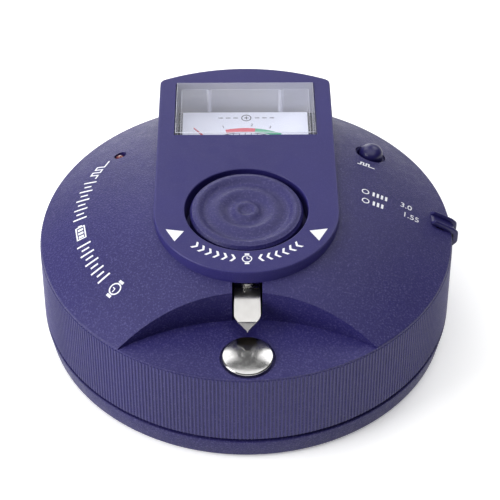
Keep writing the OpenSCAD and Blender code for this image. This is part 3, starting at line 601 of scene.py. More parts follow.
class TESTER_OT_case(bpy.types.Operator):
    """Domed cover with its recess, slot and holes, the base below the seam, and the ribs"""
    bl_idname = "tester.case"
    bl_label = "Case"

    def execute(self, context):
        edge = context.scene.tester_case.edge
        ride_for(self.cover(edge), "top_cover")
        ride_for(self.base(edge), "base_shell")
        self.ribs(context)
        return {"FINISHED"}

    def cover(self, edge):
        root = RIM_R - RIB_DEPTH
        foot = SEAM_R - RIB_DEPTH
        top = [p for p in dome_profile(0) if p[0] < RIM_R - 1.6 * edge]
        rim = fillet(root - edge, dome_z(root - edge) - edge, edge, 62, 0, 5)
        inner = dome_profile(WALL, 14)[::-1]
        profile = top + rim + [(foot, SEAM_TOP), (SEAM_R - WALL, SEAM_TOP)] + inner
        cover = temp(lathe(profile, CASE_SEGMENTS), "case_cover")
        shelf = RIM_Z - WALL
        liner = temp(lathe(top + rim + [(root, shelf), (0, shelf)], CASE_SEGMENTS), "liner")
        arch = (0, ARCH_CY)
        carve(liner, [cylinder(ARCH_R + WALL, shelf, RIM_Z + ABOVE, arch, ARCH_SEGMENTS)], "INTERSECT")
        carve(cover, [liner], "UNION")
        slot_half = 3.5 * MM
        lever_half = 2.5 * MM
        button, lamp = (BUTTON.x, BUTTON.y), (LAMP.x, LAMP.y)
        low, high = RIM_Z - 7 * MM, RIM_Z + ABOVE
        carve(cover, [
            cylinder(ARCH_R, RIM_Z, RIM_Z + 30 * MM, arch, ARCH_SEGMENTS),
            box_cutter(-slot_half, slot_half, ARCH_Y - 3 * MM, ARCH_Y + 8.2 * MM, RIM_Z, RIM_Z + 30 * MM),
            self.platform_hole(),
            cylinder(LAMP_HOLE, low, high, lamp, 64),
            flared_hole(BUTTON_HOLE, low, high, dome_z(math.hypot(*button)), 0.25 * MM, button, 96),
            box_cutter(RIM_R - 4.15 * MM, RIM_R - 2.25 * MM, -lever_half, lever_half, RIM_Z - 3 * MM,
                       RIM_Z + 9 * MM),
            cylinder(6.4 * MM, RIM_Z - 0.6 * MM, RIM_Z + 5 * MM, (0, CONTACT_Y), 120)])
        cover.name = "case_cover"
        paint(cover, case_plastic("case_textured"))
        smooth(cover, 30)
        even_shading(cover)
        return cover

    def platform_hole(self):
        outline = platform_outline(1.9 * MM)
        return temp(loft([[(x, y, z) for x, y in outline] for z in (RIM_Z - 9 * MM, RIM_Z + ABOVE)]))

    def base(self, edge):
        corner = 50.7 * MM - edge
        top = SEAM_TOP - 0.9 * MM
        lip, lip_k = SEAM_R - 1.3 * MM, 0.3 * MM
        tongue, tongue_top, tongue_t = SEAM_R - WALL - 0.15 * MM, SEAM_TOP + 2.4 * MM, 1.5 * MM
        floor = BASE_LIFT + WALL
        profile = [(0, BASE_LIFT), (corner, BASE_LIFT)] + fillet(corner, BASE_LIFT + edge, edge, -90, 0, 4)
        profile += fillet(SEAM_R - lip_k, top - lip_k, lip_k, 0, 90, 3)
        profile += [(lip, top), (lip, SEAM_TOP), (tongue, SEAM_TOP), (tongue, tongue_top),
                    (tongue - tongue_t, tongue_top), (tongue - tongue_t, floor), (0, floor)]
        base = temp(lathe(profile, CASE_SEGMENTS), "case_base_painted_shade")
        door_low, door_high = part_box("battery_door")
        gap, pin = 0.25 * MM, 1.0 * MM
        cuts = [box_cutter(door_low.x + pin - gap, door_high.x - pin + gap,
                           door_low.y - gap, door_high.y + gap, -MM, floor + MM)]
        for angle in (-39, 43, 137, 219):
            cuts.append(cylinder(2.5 * MM, -MM, floor + MM, polar(RIM_R - 6.4 * MM, angle), 48))
        for angle in (0, 90, 180, 270):
            cuts.append(cylinder(4.6 * MM, -MM, 2 * BASE_LIFT, polar(FOOT_RING, angle), 64))
        carve(base, cuts)
        base.name = "case_base_painted_shade"
        paint(base, case_plastic("case_base_painted_shade"))
        smooth(base, 30)
        return base

    def ribs(self, context):
        """Geometry Nodes ring of half-sunk upright ribs, one per step around the wall."""
        settings = context.scene.tester_case
        z0 = SEAM_TOP + 0.1 * MM
        z1 = RIM_Z - 0.55 * MM
        lean = math.atan2(SEAM_R - RIM_R, RIM_Z - SEAM_TOP)
        r = settings.rib_radius
        values = {"Count": settings.rib_count, "Ring Radius": (SEAM_R + RIM_R) / 2 - r, "Rib Radius": r,
                  "Height": z1 - z0, "Middle": (z0 + z1) / 2, "Lean": -lean}
        ring = geometry_piece("case_ribs", rib_tree(), values)
        paint(ring, case_plastic("case_ribbed_painted_light"))
        smooth(ring, 50)
        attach(ring, "housing")


def rib_tree():
    tree = bpy.data.node_groups.new("Rib Ring", "GeometryNodeTree")
    tree.is_modifier = True
    tree.interface.new_socket(name="Count", in_out="INPUT", socket_type="NodeSocketInt")
    for label in ("Ring Radius", "Rib Radius", "Height", "Middle", "Lean"):
        tree.interface.new_socket(name=label, in_out="INPUT", socket_type="NodeSocketFloat")
    tree.interface.new_socket(name="Geometry", in_out="OUTPUT", socket_type="NodeSocketGeometry")
    make, wire = tree.nodes.new, tree.links.new
    gin, gout = make("NodeGroupInput"), make("NodeGroupOutput")
    points = make("GeometryNodePoints")
    wire(gin.outputs["Count"], points.inputs["Count"])
    index = make("GeometryNodeInputIndex")
    turn = math_node(tree, "MULTIPLY", math_node(tree, "DIVIDE", index.outputs[0], gin.outputs["Count"]), tau)
    place = make("ShaderNodeCombineXYZ")
    for axis, wave in enumerate(("COSINE", "SINE")):
        reach = math_node(tree, "MULTIPLY", math_node(tree, wave, turn), gin.outputs["Ring Radius"])
        wire(reach, place.inputs[axis])
    wire(gin.outputs["Middle"], place.inputs[2])
    wire(place.outputs[0], points.inputs["Position"])
    rib = make("GeometryNodeMeshCylinder")
    rib.inputs["Vertices"].default_value = 8
    wire(gin.outputs["Rib Radius"], rib.inputs["Radius"])
    wire(gin.outputs["Height"], rib.inputs["Depth"])
    spin = make("ShaderNodeCombineXYZ")
    wire(gin.outputs["Lean"], spin.inputs[1])
    wire(turn, spin.inputs[2])
    copies = make("GeometryNodeInstanceOnPoints")
    wire(points.outputs[0], copies.inputs["Points"])
    wire(rib.outputs["Mesh"], copies.inputs["Instance"])
    wire(spin.outputs[0], copies.inputs["Rotation"])
    real = make("GeometryNodeRealizeInstances")
    wire(copies.outputs[0], real.inputs[0])
    wire(real.outputs[0], gout.inputs["Geometry"])
    return tree


def geometry_piece(name, tree, values):
    """Runs a Geometry Nodes tree on an empty mesh and keeps the plain result."""
    piece = link(bpy.data.meshes.new(name), name)
    mod = piece.modifiers.new("nodes", "NODES")
    mod.node_group = tree
    for item in tree.interface.items_tree:
        if item.in_out == "INPUT" and item.name in values:
            mod[item.identifier] = values[item.name]
    apply_modifiers(piece)
    return piece


# ---------------------------------------------------------------- platform and watch pad

def platform_outline(inset, front=72, rear=28):
    """Round front, straight sides, rear on the body's circle, rounded rear corners."""
    half = PLAT_HALF - inset
    k = max(2 * MM - inset, 0.3 * MM)
    rear_r = RIM_R - 1.5 * MM - inset
    cx = half - k
    cy = sqrt((rear_r - k) ** 2 - cx ** 2)
    turn = math.degrees(math.atan2(cy, cx))
    return (fillet(0, PAD_Y, half, 180, 360, front) + fillet(cx, cy, k, 0, turn, 6)
            + fillet(0, 0, rear_r, turn, 180 - turn, rear) + fillet(-cx, cy, k, 180 - turn, 180, 6))


def pad_height(r):
    """Height of the pad's ripples at radius r, below or above the platform's top."""
    wave = ((0, -0.8), (1.0, -0.75), (2.3, -0.3), (4.3, -1.0), (6.9, -0.25), (9.7, -0.85), (12, 0.05),
            (13.1, -0.25), (13.6, -1))
    for (r0, z0), (r1, z1) in zip(wave, wave[1:]):
        if r / MM <= r1 + 1e-6:
            t = (r / MM - r0) / (r1 - r0)
            return (z0 + (z1 - z0) * (1 - cos(pi * t)) / 2) * MM
    return wave[-1][1] * MM


class TESTER_OT_platform(bpy.types.Operator):
    """Raised platform with its window and pad hole, and the rippled watch pad"""
    bl_idname = "tester.platform"
    bl_label = "Platform"

    def execute(self, context):
        self.platform(context.scene.tester_case.edge)
        self.pad()
        return {"FINISHED"}

    def platform(self, edge):
        t = 2 * MM
        k = 0.7 * edge

        def level(inset, z):
            return [(x, y, z) for x, y in platform_outline(inset)]

        def skirt(inset):
            return [on_dome(x, y, -0.05 * MM) for x, y in platform_outline(inset)]
        crown = [level(k - k * cos(radians(a)), PLAT_TOP - k + k * sin(radians(a))) for a in (0, 30, 60, 90)]
        loops = [level(t, PLAT_TOP - t), skirt(t), skirt(0)] + crown + [level(2 * k, PLAT_TOP)]
        plate = temp(loft(loops), "platform")
        inner, outer, under = PAD_HOLE - 0.2 * MM, PAD_HOLE + 1.1 * MM, PLAT_TOP - MM
        ring = [(inner, COLLAR_Z), (outer, COLLAR_Z), (outer, under), (inner, under)]
        carve(plate, [temp(lathe(ring, 180, (0, PAD_Y), closed=True))], "UNION")
        half = k / 2

        def window_loop(grow, z):
            return rect_loop(-WIN_X - grow, WIN_X + grow, WIN_Y0 - grow, WIN_Y1 + grow, z, 0.3 * MM)
        mouth = [window_loop(half - half * cos(radians(a)), PLAT_TOP - half + half * sin(radians(a)))
                 for a in (0, 45, 90)]
        window = temp(loft([window_loop(0, RIM_Z)] + mouth + [window_loop(half, PLAT_TOP + 9 * MM)]))
        carve(plate, [window, flared_hole(PAD_HOLE, RIM_Z, PLAT_TOP + 9 * MM, PLAT_TOP, k, (0, PAD_Y), 240)])
        plate.name = "platform"
        paint(plate, case_plastic("case_satin_painted_light"))
        smooth(plate, 32)
        even_shading(plate)
        ride_for(plate, "watch_platform")

    def pad(self):
        rings = 84
        collar_r, flange_z = PAD_HOLE + 1.1 * MM, COLLAR_Z - 1.2 * MM
        profile = [(PAD_R * i / rings, PLAT_TOP + pad_height(PAD_R * i / rings)) for i in range(rings + 1)]
        profile += [(PAD_R, COLLAR_Z), (collar_r, COLLAR_Z), (collar_r, flange_z), (0, flange_z)]
        pad = finish_mesh(lathe(profile, 200, (0, PAD_Y)), "watch_pad", case_plastic("pad_grained"), 40)
        ride_for(pad, "sensor_disc")


# ---------------------------------------------------------------- panel meter

def flat_text(body, size, at, z, name, material, turn=0.0):
    """A number as a thin plate, centred on a point."""
    curve = bpy.data.curves.new(name, "FONT")
    curve.body = body
    curve.size = size
    curve.extrude = PLATE_T
    curve.resolution_u = 6
    curve.align_x = "CENTER"
    curve.align_y = "CENTER"
    drawn = link(curve, name + "_curve")
    bpy.context.view_layer.update()
    mesh = bpy.data.meshes.new_from_object(drawn.evaluated_get(bpy.context.evaluated_depsgraph_get()))
    bpy.data.objects.remove(drawn)
    mesh.transform(Matrix.Translation((at[0], at[1], z)) @ Matrix.Rotation(turn, 4, "Z"))
    mesh.name = name
    piece = link(mesh, name)
    paint(piece, material)
    return piece


def joined(pieces, name):
    """Joins meshes that share one material into one piece."""
    bm = bmesh.new()
    for piece in pieces:
        bm.from_mesh(piece.data)
    material = pieces[0].data.materials[0]
    for piece in pieces:
        bpy.data.objects.remove(piece)
    whole = as_piece(bm, name)
    paint(whole, material)
    return whole


def band(centre, r0, r1, a0, a1, z, name, material, steps=24):
    """Flat ring sector, angles in degrees from straight back, clockwise."""
    bm = bmesh.new()
    loops = []
    for i in range(steps + 1):
        a = 90 - (a0 + (a1 - a0) * i / steps)
        loops.append([bm.verts.new((*polar(r, a, centre), z + h))
                      for r, h in ((r0, 0), (r1, 0), (r1, PLATE_T), (r0, PLATE_T))])
    for a, b in zip(loops, loops[1:]):
        for i in range(4):
            j = (i + 1) % 4
            bm.faces.new((a[i], a[j], b[j], b[i]))
    bm.faces.new(loops[0])
    bm.faces.new(loops[-1])
    return finish_mesh(bm, name, material)


POST_FACET = 2e-6   # the clear posts' facets are smaller than this, in square metres


class TESTER_OT_meter(bpy.types.Operator):
    """Clear case, printed scale and red pointer of the panel meter"""
    bl_idname = "tester.meter"
    bl_label = "Meter"

    def execute(self, context):
        self.case()
        self.scale(context.scene.tester_dial)
        card = plastic("dial_card", (0.84, 0.87, 1.0), rough=0.55, grain=0.1, scale=3000, bump=0.001)
        lacquer = plastic("pointer_lacquer", (0.62, 0.03, 0.05), rough=0.3, grain=0.1, scale=4000, bump=0.001)
        dress(card, "meter_dial")
        dress(lacquer, "meter_needle")
        return {"FINISHED"}

    def case(self):
        """Clear case whose level skins stay nearly clear, while its outer upright skins and the posts' facets
        wear a whiter, more opaque copy as painted sheen, and its rounded edges a near-opaque white copy as
        painted highlight.
        """
        case = rounded_node("meter_cover", "meter_case", clear_plastic("clear_styrene", 0.1, 0.9), 0.22 * MM)
        case.data.materials.append(clear_plastic("clear_wall_painted_sheen", 0.52, 1.0))
        case.data.materials.append(clear_plastic("clear_edge_painted_highlight", 0.85, 1.0))
        case_low, case_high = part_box("meter_cover")
        for face in case.data.polygons:
            level, at = abs(face.normal.z), face.center
            from_side = min(at.x - case_low.x, case_high.x - at.x, at.y - case_low.y, case_high.y - at.y)
            outside = from_side < 0.05 * MM
            gets_painted_sheen = outside or face.area < POST_FACET
            # The whiter, more opaque copies on upright skins and rounded edges are painted sheen and painted
            # highlight of the clear plastic.
            face.material_index = 2 if 0.05 < level < 0.98 else 1 if level < 0.05 and gets_painted_sheen else 0

    def scale(self, dial):
        z = dial_high.z + 0.01 * MM
        centre = (0, PIVOT.y)
        dark = ink("dial_ink", (0.03, 0.03, 0.05))
        red = ink("dial_red", tuple(dial.low_colour))
        green = ink("dial_green", tuple(dial.good_colour))
        inner = dial.band_r - dial.band_w
        poor = band(centre, inner, dial.band_r, -15, 7.5, z, "dial_band_low", red)
        good = band(centre, inner, dial.band_r, 7.5, 28, z, "dial_band_good", green)
        marks = [band(centre, inner - 0.5 * MM, inner - 0.3 * MM, -37, 37, z, "dial_arc", dark, 48)]
        for angle, number in ((-15.5, "1"), (4.5, "2"), (17.5, "3")):
            at = polar(dial.band_r + 1.3 * MM, 90 - angle, centre)
            marks.append(flat_text(number, 1.5 * MM, at, z, "dial_number", dark, -radians(angle)))
        for step in range(-7, 8):
            marks.append(band(centre, inner - 1.2 * MM, inner - 0.4 * MM, 5 * step - 0.25, 5 * step + 0.25, z,
                              "dial_tick", dark, 2))
        marks += put_flat(cell_sign(1.5 * MM, dark), (0.3 * MM, PIVOT.y + 24.6 * MM), 0, z)
        for piece in (poor, good, joined(marks, "dial_marks")):
            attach(piece, "housing")


# ---------------------------------------------------------------- printed marks

def plate(points, z, material):
    """Thin plate with the given outline."""
    bm = bmesh.new()
    bottom = [bm.verts.new((x, y, z)) for x, y in points]
    top = [bm.verts.new((x, y, z + PLATE_T)) for x, y in points]
    bm.faces.new(bottom)
    bm.faces.new(top)
    for i in range(len(points)):
        j = (i + 1) % len(points)
        bm.faces.new((bottom[i], bottom[j], top[j], top[i]))
    return finish_mesh(bm, "mark", material)


def bar(x0, x1, y0, y1, z, material):
    return plate([(x0, y0), (x1, y0), (x1, y1), (x0, y1)], z, material)


def bars(s, boxes, material):
    """Bars at scale s, each given by its left, right, front and rear."""
    return [bar(x0 * s, x1 * s, y0 * s, y1 * s, 0, material) for x0, x1, y0, y1 in boxes]


def chevron(reach, tall, w, material):
    """Arrow head about the origin, its point reach away to the side."""
    near, far = -reach / 2, reach / 2
    half = math.copysign(w, reach) / 2
    points = [(near - half, tall), (near + half, tall), (far + half, 0),
              (near + half, -tall), (near - half, -tall), (far - half, 0)]
    return plate(points if reach > 0 else points[::-1], 0, material)


def ring_mark(at, r, w, z, material):
    return band(at, r - w, r, 0, 360, z, "mark", material, 32)


def cell_sign(s, material):
    """Button cell seen from above: a ring, a plus, and three bars on each side."""
    boxes = [(-0.45, 0.45, -0.09, 0.09), (-0.09, 0.09, -0.45, 0.45)]
    middles = [side * (1.9 + 1.3 * k) for side in (-1, 1) for k in range(3)]
    boxes += [(x - 0.4, x + 0.4, -0.1, 0.1) for x in middles]
    return [ring_mark((0, 0), 0.9 * s, 0.18 * s, 0, material)] + bars(s, boxes, material)


def watch_sign(s, material):
    """Wrist watch: case ring, two hands and two strap stubs, about 3 wide at scale 1."""
    boxes = ((-0.08, 0.08, 0, 0.62), (0, 0.48, -0.08, 0.08),
             (-0.45, 0.45, -1.5, -1.08), (-0.45, 0.45, 1.08, 1.5))
    return [ring_mark((0, 0), 1.0 * s, 0.22 * s, 0, material)] + bars(s, boxes, material)


def battery_sign(s, material):
    """Battery lying down: outline, nub and three charge bars."""
    boxes = [(-1.5, 1.3, 0.55, 0.75), (-1.5, 1.3, -0.75, -0.55), (-1.5, -1.3, -0.75, 0.75),
             (1.1, 1.3, -0.75, 0.75), (1.3, 1.55, -0.3, 0.3)]
    boxes += [(-1.15 + 0.75 * k, -0.7 + 0.75 * k, -0.4, 0.4) for k in range(3)]
    return bars(s, boxes, material)


def pulse_sign(s, material, weight=0.26):
    """Square pulse train."""
    half = weight / 2
    corners = [(-2.4, -0.7), (-1.6, -0.7), (-1.6, 0.7), (-0.8, 0.7), (-0.8, -0.7),
               (0, -0.7), (0, 0.7), (0.8, 0.7), (0.8, -0.7), (2.4, -0.7)]
    boxes = [(min(x0, x1) - half, max(x0, x1) + half, min(y0, y1) - half, max(y0, y1) + half)
             for (x0, y0), (x1, y1) in zip(corners, corners[1:])]
    return bars(s, boxes, material)


def divided(piece, longest=0.8 * MM):
    """Splits long edges so that a flat mark can follow the dome."""
    bm = bmesh.new()
    bm.from_mesh(piece.data)
    bmesh.ops.triangulate(bm, faces=bm.faces)
    for _ in range(3):
        long_edges = [e for e in bm.edges if e.calc_length() > longest]
        if not long_edges:
            break
        bmesh.ops.subdivide_edges(bm, edges=long_edges, cuts=1)
        bmesh.ops.triangulate(bm, faces=[f for f in bm.faces if len(f.verts) > 3])
    bm.to_mesh(piece.data)
    bm.free()


def put_on_dome(marks, at, turn, lift):
    """Moves flat marks drawn about the origin to their place and lays them on the dome."""
    spin = Matrix.Rotation(turn, 3, "Z")
    for mark in marks:
        divided(mark)
        for v in mark.data.vertices:
            flat = spin @ Vector((v.co.x, v.co.y, 0))
            v.co = on_dome(at[0] + flat.x, at[1] + flat.y, lift + v.co.z)
    return marks


def put_flat(marks, at, turn, z):
    """Moves flat marks drawn about the origin to their place on a level surface."""
    for mark in marks:
        mark.data.transform(Matrix.Translation((at[0], at[1], z)) @ Matrix.Rotation(turn, 4, "Z"))
    return marks


class TESTER_OT_print(bpy.types.Operator):
    """White pictograms and ticks printed on the dome and the platform"""
    bl_idname = "tester.print"
    bl_label = "Printed marks"

    def execute(self, context):
        lift = context.scene.tester_print.lift
        white = ink()
        dome_marks = self.left_arc(white, lift) + self.right_labels(white, lift)
        flat_marks = self.pad_arc(white, PLAT_TOP + lift * 0.5)
        for piece in (joined(dome_marks, "dome_print"), joined(flat_marks, "platform_print")):
            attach(piece, "housing")
        return {"FINISHED"}

    def left_arc(self, white, lift):
        """Pictograms between graduated ticks, on an arc about the body's axis, tops outwards."""
        r, steps = 40.8 * MM, 8
        drawn = [(watch_sign(1.5 * MM, white), 221), (battery_sign(1.6 * MM, white), 190),
                 (pulse_sign(1.5 * MM, white), 156)]
        for start, end in ((214.5, 196.5), (183, 163.5)):
            for i in range(steps + 1):
                tall = 1.7 * MM if i % 2 == 0 else 0.95 * MM
                tick = bar(-0.24 * MM, 0.24 * MM, -tall, tall, 0, white)
                drawn.append(([tick], start + (end - start) * i / steps))
        pieces = []
        for marks, angle in drawn:
            pieces += put_on_dome(marks, polar(r, angle), radians(angle - 90), lift)
        return pieces

    def pad_arc(self, white, z):
        """Two triangles that point at the pad, with chevrons and a watch between them."""
        pieces = []
        r = 17.7 * MM
        for side in (-1, 1):
            points = [(side * x * MM, PAD_Y - y * MM) for x, y in ((19.1, 7.4), (14.8, 8.1), (16.9, 11.6))]
            pieces.append(plate(points if side > 0 else points[::-1], z, white))
        pieces += put_flat(watch_sign(1.2 * MM, white), (0, PAD_Y - r), 0, z)
        for side in (-1, 1):
            for i in range(6):
                angle = 270 + side * (10.5 + 6.4 * i)
                mark = chevron(-side * 0.75 * MM, 1.15 * MM, 0.6 * MM, white)
                pieces += put_flat([mark], polar(r, angle, (0, PAD_Y)), radians(angle + 90), z)
        return pieces

    def right_labels(self, white, lift):
        """Two rows that name the selector's settings by cell voltage, and a sign under the button."""
        pieces = []
        slant = radians(-10)
        rows = (("3.0", (39.4, 1.2), 2, (29.3, 2.6)), ("1.55", (40.3, -2.3), 1, (29.1, -0.9)))
        for number, at, count, sign_at in rows:
            text = flat_text(number, 2.5 * MM, (0, 0), 0, "label_number", white)
            pieces += put_on_dome([text], (at[0] * MM, at[1] * MM), slant, lift)
            ring = ring_mark((0, 0), 0.95 * MM, 0.28 * MM, 0, white)
            boxes = [(1.75 + 1.05 * k, 2.3 + 1.05 * k, -0.8, 0.8) for k in range(2 + count)]
            sign = [ring] + bars(MM, boxes, white)
            pieces += put_on_dome(sign, (sign_at[0] * MM, sign_at[1] * MM), slant, lift)
        pieces += put_on_dome(pulse_sign(0.85 * MM, white, 0.4), (30.3 * MM, 14.6 * MM), slant, lift)
        return pieces


# ---------------------------------------------------------------- cell contact and strip

class TESTER_OT_contact(bpy.types.Operator):
    """Polished contact disc with its stamped ring, and the pointed spring strip"""
    bl_idname = "tester.contact"
    bl_label = "Cell contact"

    def execute(self, context):
        self.disc()
        self.strip()
        self.plus_marks()
        return {"FINISHED"}

    def disc(self):
        r = contact_high.x
        top = contact_high.z
        k = 0.55 * MM
        floor = RIM_Z - 0.6 * MM
        crown = 0.45 * MM
        k_top = top - crown

        def crowned(radius):
            return top - crown * (radius / (r - k)) ** 2
        stamped = ((0, 0.04), (0.6, 0.04), (0.85, 0.01), (1.05, 0), (1.3, 0.02), (1.6, 0.02))
        face = [(at * MM, crowned(at * MM) - sunk * MM) for at, sunk in stamped]
        face += [(r * t, crowned(r * t)) for t in (0.34, 0.42, 0.5, 0.6, 0.7, 0.8)]
        edge = fillet(r - k, k_top - k, k, 82, -20, 8)
        stud = 1.5 * MM
        profile = face + edge + [(r - 0.3 * MM, floor), (stud, floor), (stud, contact_low.z),
                                 (0, contact_low.z)]
        nickel = metal("polished_nickel", (0.47, 0.465, 0.46), rough=0.14, scale=900, bump=0.001, smudge=0.06)
        disc = finish_mesh(lathe(profile, 160, (0, CONTACT_Y)), "contact_disc", nickel, 40)
        ride_for(disc, "cell_contact")

    def strip(self):
        """Strip swept along its side view with rounded bends, narrowing to the point."""
        strip_low, strip_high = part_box("contact_strip")
        t = 0.4 * MM
        top = strip_high.z
        root_y, tip_y = strip_high.y - t / 2, strip_low.y   # the rear end turns inside the clamped root
        bend_y = ARCH_Y + 0.6 * MM
        fold_y = tip_y + 3.9 * MM
        drop = math.tan(radians(20)) * (bend_y - fold_y)
        crease_y = fold_y - MM
        corners = [(root_y, top), (bend_y, top), (crease_y + 0.2 * MM, top - drop)]
        line = rounded_line(corners, 0.7 * MM)
        tip = Vector((tip_y, top - drop - 0.12 * MM))
        crease = Vector((crease_y, top - drop - 0.09 * MM))
        shelf = Vector((crease_y - 0.2 * MM, top - drop))
        line += [tuple(crease), tuple(shelf)] + [tuple(shelf.lerp(tip, i / 8)) for i in range(1, 9)]
        half = strip_high.x
        shoulder_y = fold_y + 0.25 * MM
        bm = bmesh.new()
        rows = []
        for y, z in line:
            w = half if y > shoulder_y else half * max(0.03, (y - tip_y) / (shoulder_y - tip_y))
            row = [bm.verts.new((x * w, y, z)) for x in (-1, -0.92, -0.5, 0, 0.5, 0.92, 1)]
            rows.append(row)
        for a, b in zip(rows, rows[1:]):
            for i in range(6):
                bm.faces.new((a[i], a[i + 1], b[i + 1], b[i]))
        bmesh.ops.recalc_face_normals(bm, faces=bm.faces)
        if sum(f.normal.z for f in bm.faces) < 0:
            bmesh.ops.reverse_faces(bm, faces=bm.faces)
        finish = metal("strip_nickel", (0.50, 0.49, 0.48), rough=0.3, stretch=(1, 0.05, 1), scale=2200)
        strip = finish_mesh(bm, "spring_strip", finish, 40, recalc=False)
        solid = strip.modifiers.new("thick", "SOLIDIFY")
        solid.thickness = t
        solid.offset = -1
        apply_modifiers(strip)
        bevelled(strip, 0.07 * MM, 50)
        smooth(strip, 50)
        ride_for(strip, "contact_strip")

    def plus_marks(self):
        """Faint moulded plus signs beside the contact."""
        textured = case_plastic("case_textured")
        arm, w = 0.9 * MM, 0.14 * MM
        pieces = []
        for side in (-1, 1):
            x, y = side * 9.8 * MM, CONTACT_Y + 0.8 * MM
            pieces += [bar(x - a, x + a, y - b, y + b, RIM_Z, textured) for a, b in ((arm, w), (w, arm))]
        marks = joined(pieces, "recess_plus")
        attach(marks, "housing")


def rounded_line(corners, k, steps=6):
    """Polyline through corners whose bends are replaced by arcs about k long on each side."""
    points = [corners[0]]
    for before, at, after in zip(corners, corners[1:], corners[2:]):
        a, b, c = Vector(before), Vector(at), Vector(after)
        start = b + (a - b).normalized() * k
        end = b + (c - b).normalized() * k
        for i in range(steps + 1):
            t = i / steps
            p = start * (1 - t) ** 2 + b * 2 * t * (1 - t) + end * t ** 2
            points.append((p.x, p.y))
    last, tip = Vector(points[-1]), Vector(corners[-1])
    points += [tuple(last.lerp(tip, i / 8)) for i in range(1, 9)]
    return points


# ---------------------------------------------------------------- controls

class TESTER_OT_controls(bpy.types.Operator):
    """Domed push button, lamp and the ribbed selector saddle"""
    bl_idname = "tester.controls"
    bl_label = "Controls"

    def execute(self, context):
        self.button()
        self.lamp()
        self.selector()
        return {"FINISHED"}

    def button(self):
        box_low, box_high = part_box("test_button")
        top = box_high.z
        r, k = 3 * MM, 2.2 * MM
        flange = box_low.z + 0.001 * MM
        node_top = top - k
        surface = dome_z(math.hypot(BUTTON.x, BUTTON.y)) - 2.2 * MM
        profile = [(r * sin(radians(a)), node_top + k * cos(radians(a))) for a in range(0, 91, 6)]
        brim, stem = r + 1.3 * MM, 1.8 * MM
        profile += [(r, surface), (brim, surface), (brim, surface - MM), (stem, surface - MM),
                    (stem, flange), (0, flange)]
        turned = lathe(profile, 96, (BUTTON.x, BUTTON.y))
        cap = finish_mesh(turned, "button_cap", case_plastic("case_gloss_painted_shade"), 40)
        ride_for(cap, "test_button")

    def lamp(self):
        box_low, box_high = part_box("led")
        r = 1.5 * MM
        profile = [(r * sin(radians(a)), box_high.z - r + r * cos(radians(a))) for a in range(0, 91, 9)]
        brim = r + 0.4 * MM
        profile += [(r, box_low.z + MM), (brim, box_low.z + MM), (brim, box_low.z), (0, box_low.z)]
        lens = finish_mesh(lathe(profile, 48, (LAMP.x, LAMP.y)), "lamp_lens", lamp_epoxy(), 40)
        ride_for(lens, "led")

    def selector(self):
        """Saddle swept over the rim, with two rounded ribs across its section."""
        play, plate_t, rise = 0.15 * MM, 0.6 * MM, 0.85 * MM
        pitch, rib_half = 1.75 * MM, 0.5 * MM
        x0 = RIM_R - 5.4 * MM
        path = []
        a0, a1 = math.acos(x0 / DOME_R), math.acos((RIM_R - 0.3 * MM) / DOME_R)
        for i in range(13):
            a = a0 + (a1 - a0) * i / 12
            path.append((DOME_R * cos(a), DOME_CZ + DOME_R * sin(a), cos(a), sin(a)))
        turn_r, turn_z, reach = 0.3 * MM, RIM_Z - 0.3 * MM, 3.6 * MM
        for i in range(1, 7):
            t = radians(30 * (1 - i / 6))
            path.append((RIM_R - 0.1 * MM + turn_r * cos(t), turn_z + turn_r * sin(t), cos(t), sin(t)))
        for i in range(1, 9):
            path.append((RIM_R + 0.2 * MM, turn_z - reach * i / 8, 1.0, 0.0))
        half = pitch + rib_half
        loops = []
        count = len(path)
        across = 66
        for i, (x, z, nx, nz) in enumerate(path):
            nose = min(1.0, (i + 0.25) / 1.3)
            tail = min(1.0, (count - 1 - i) / 3.0)
            ease = sin(pi / 2 * min(nose, tail))
            loop = []
            for j in range(across + 1):
                y = -half + 2 * half * j / across
                bump = 0.0
                for s in (-1, 1):
                    u = (y - s * pitch) / rib_half
                    if abs(u) < 1:
                        bump = max(bump, (1 - abs(u) ** 3) ** 0.4)
                h = play + (plate_t * 0.55 + rise * bump) * ease
                loop.append((x + nx * h, y, z + nz * h))
            for j in (across, 0):
                y = -half + 2 * half * j / across
                loop.append((x + nx * play * 0.8, y, z + nz * play * 0.8))
            loops.append(loop)
        saddle = finish_mesh(loft(loops), "selector_saddle", case_plastic("case_gloss_painted_shade"), 45)
        ride_for(saddle, "selector_knob")


# ---------------------------------------------------------------- inside and underside

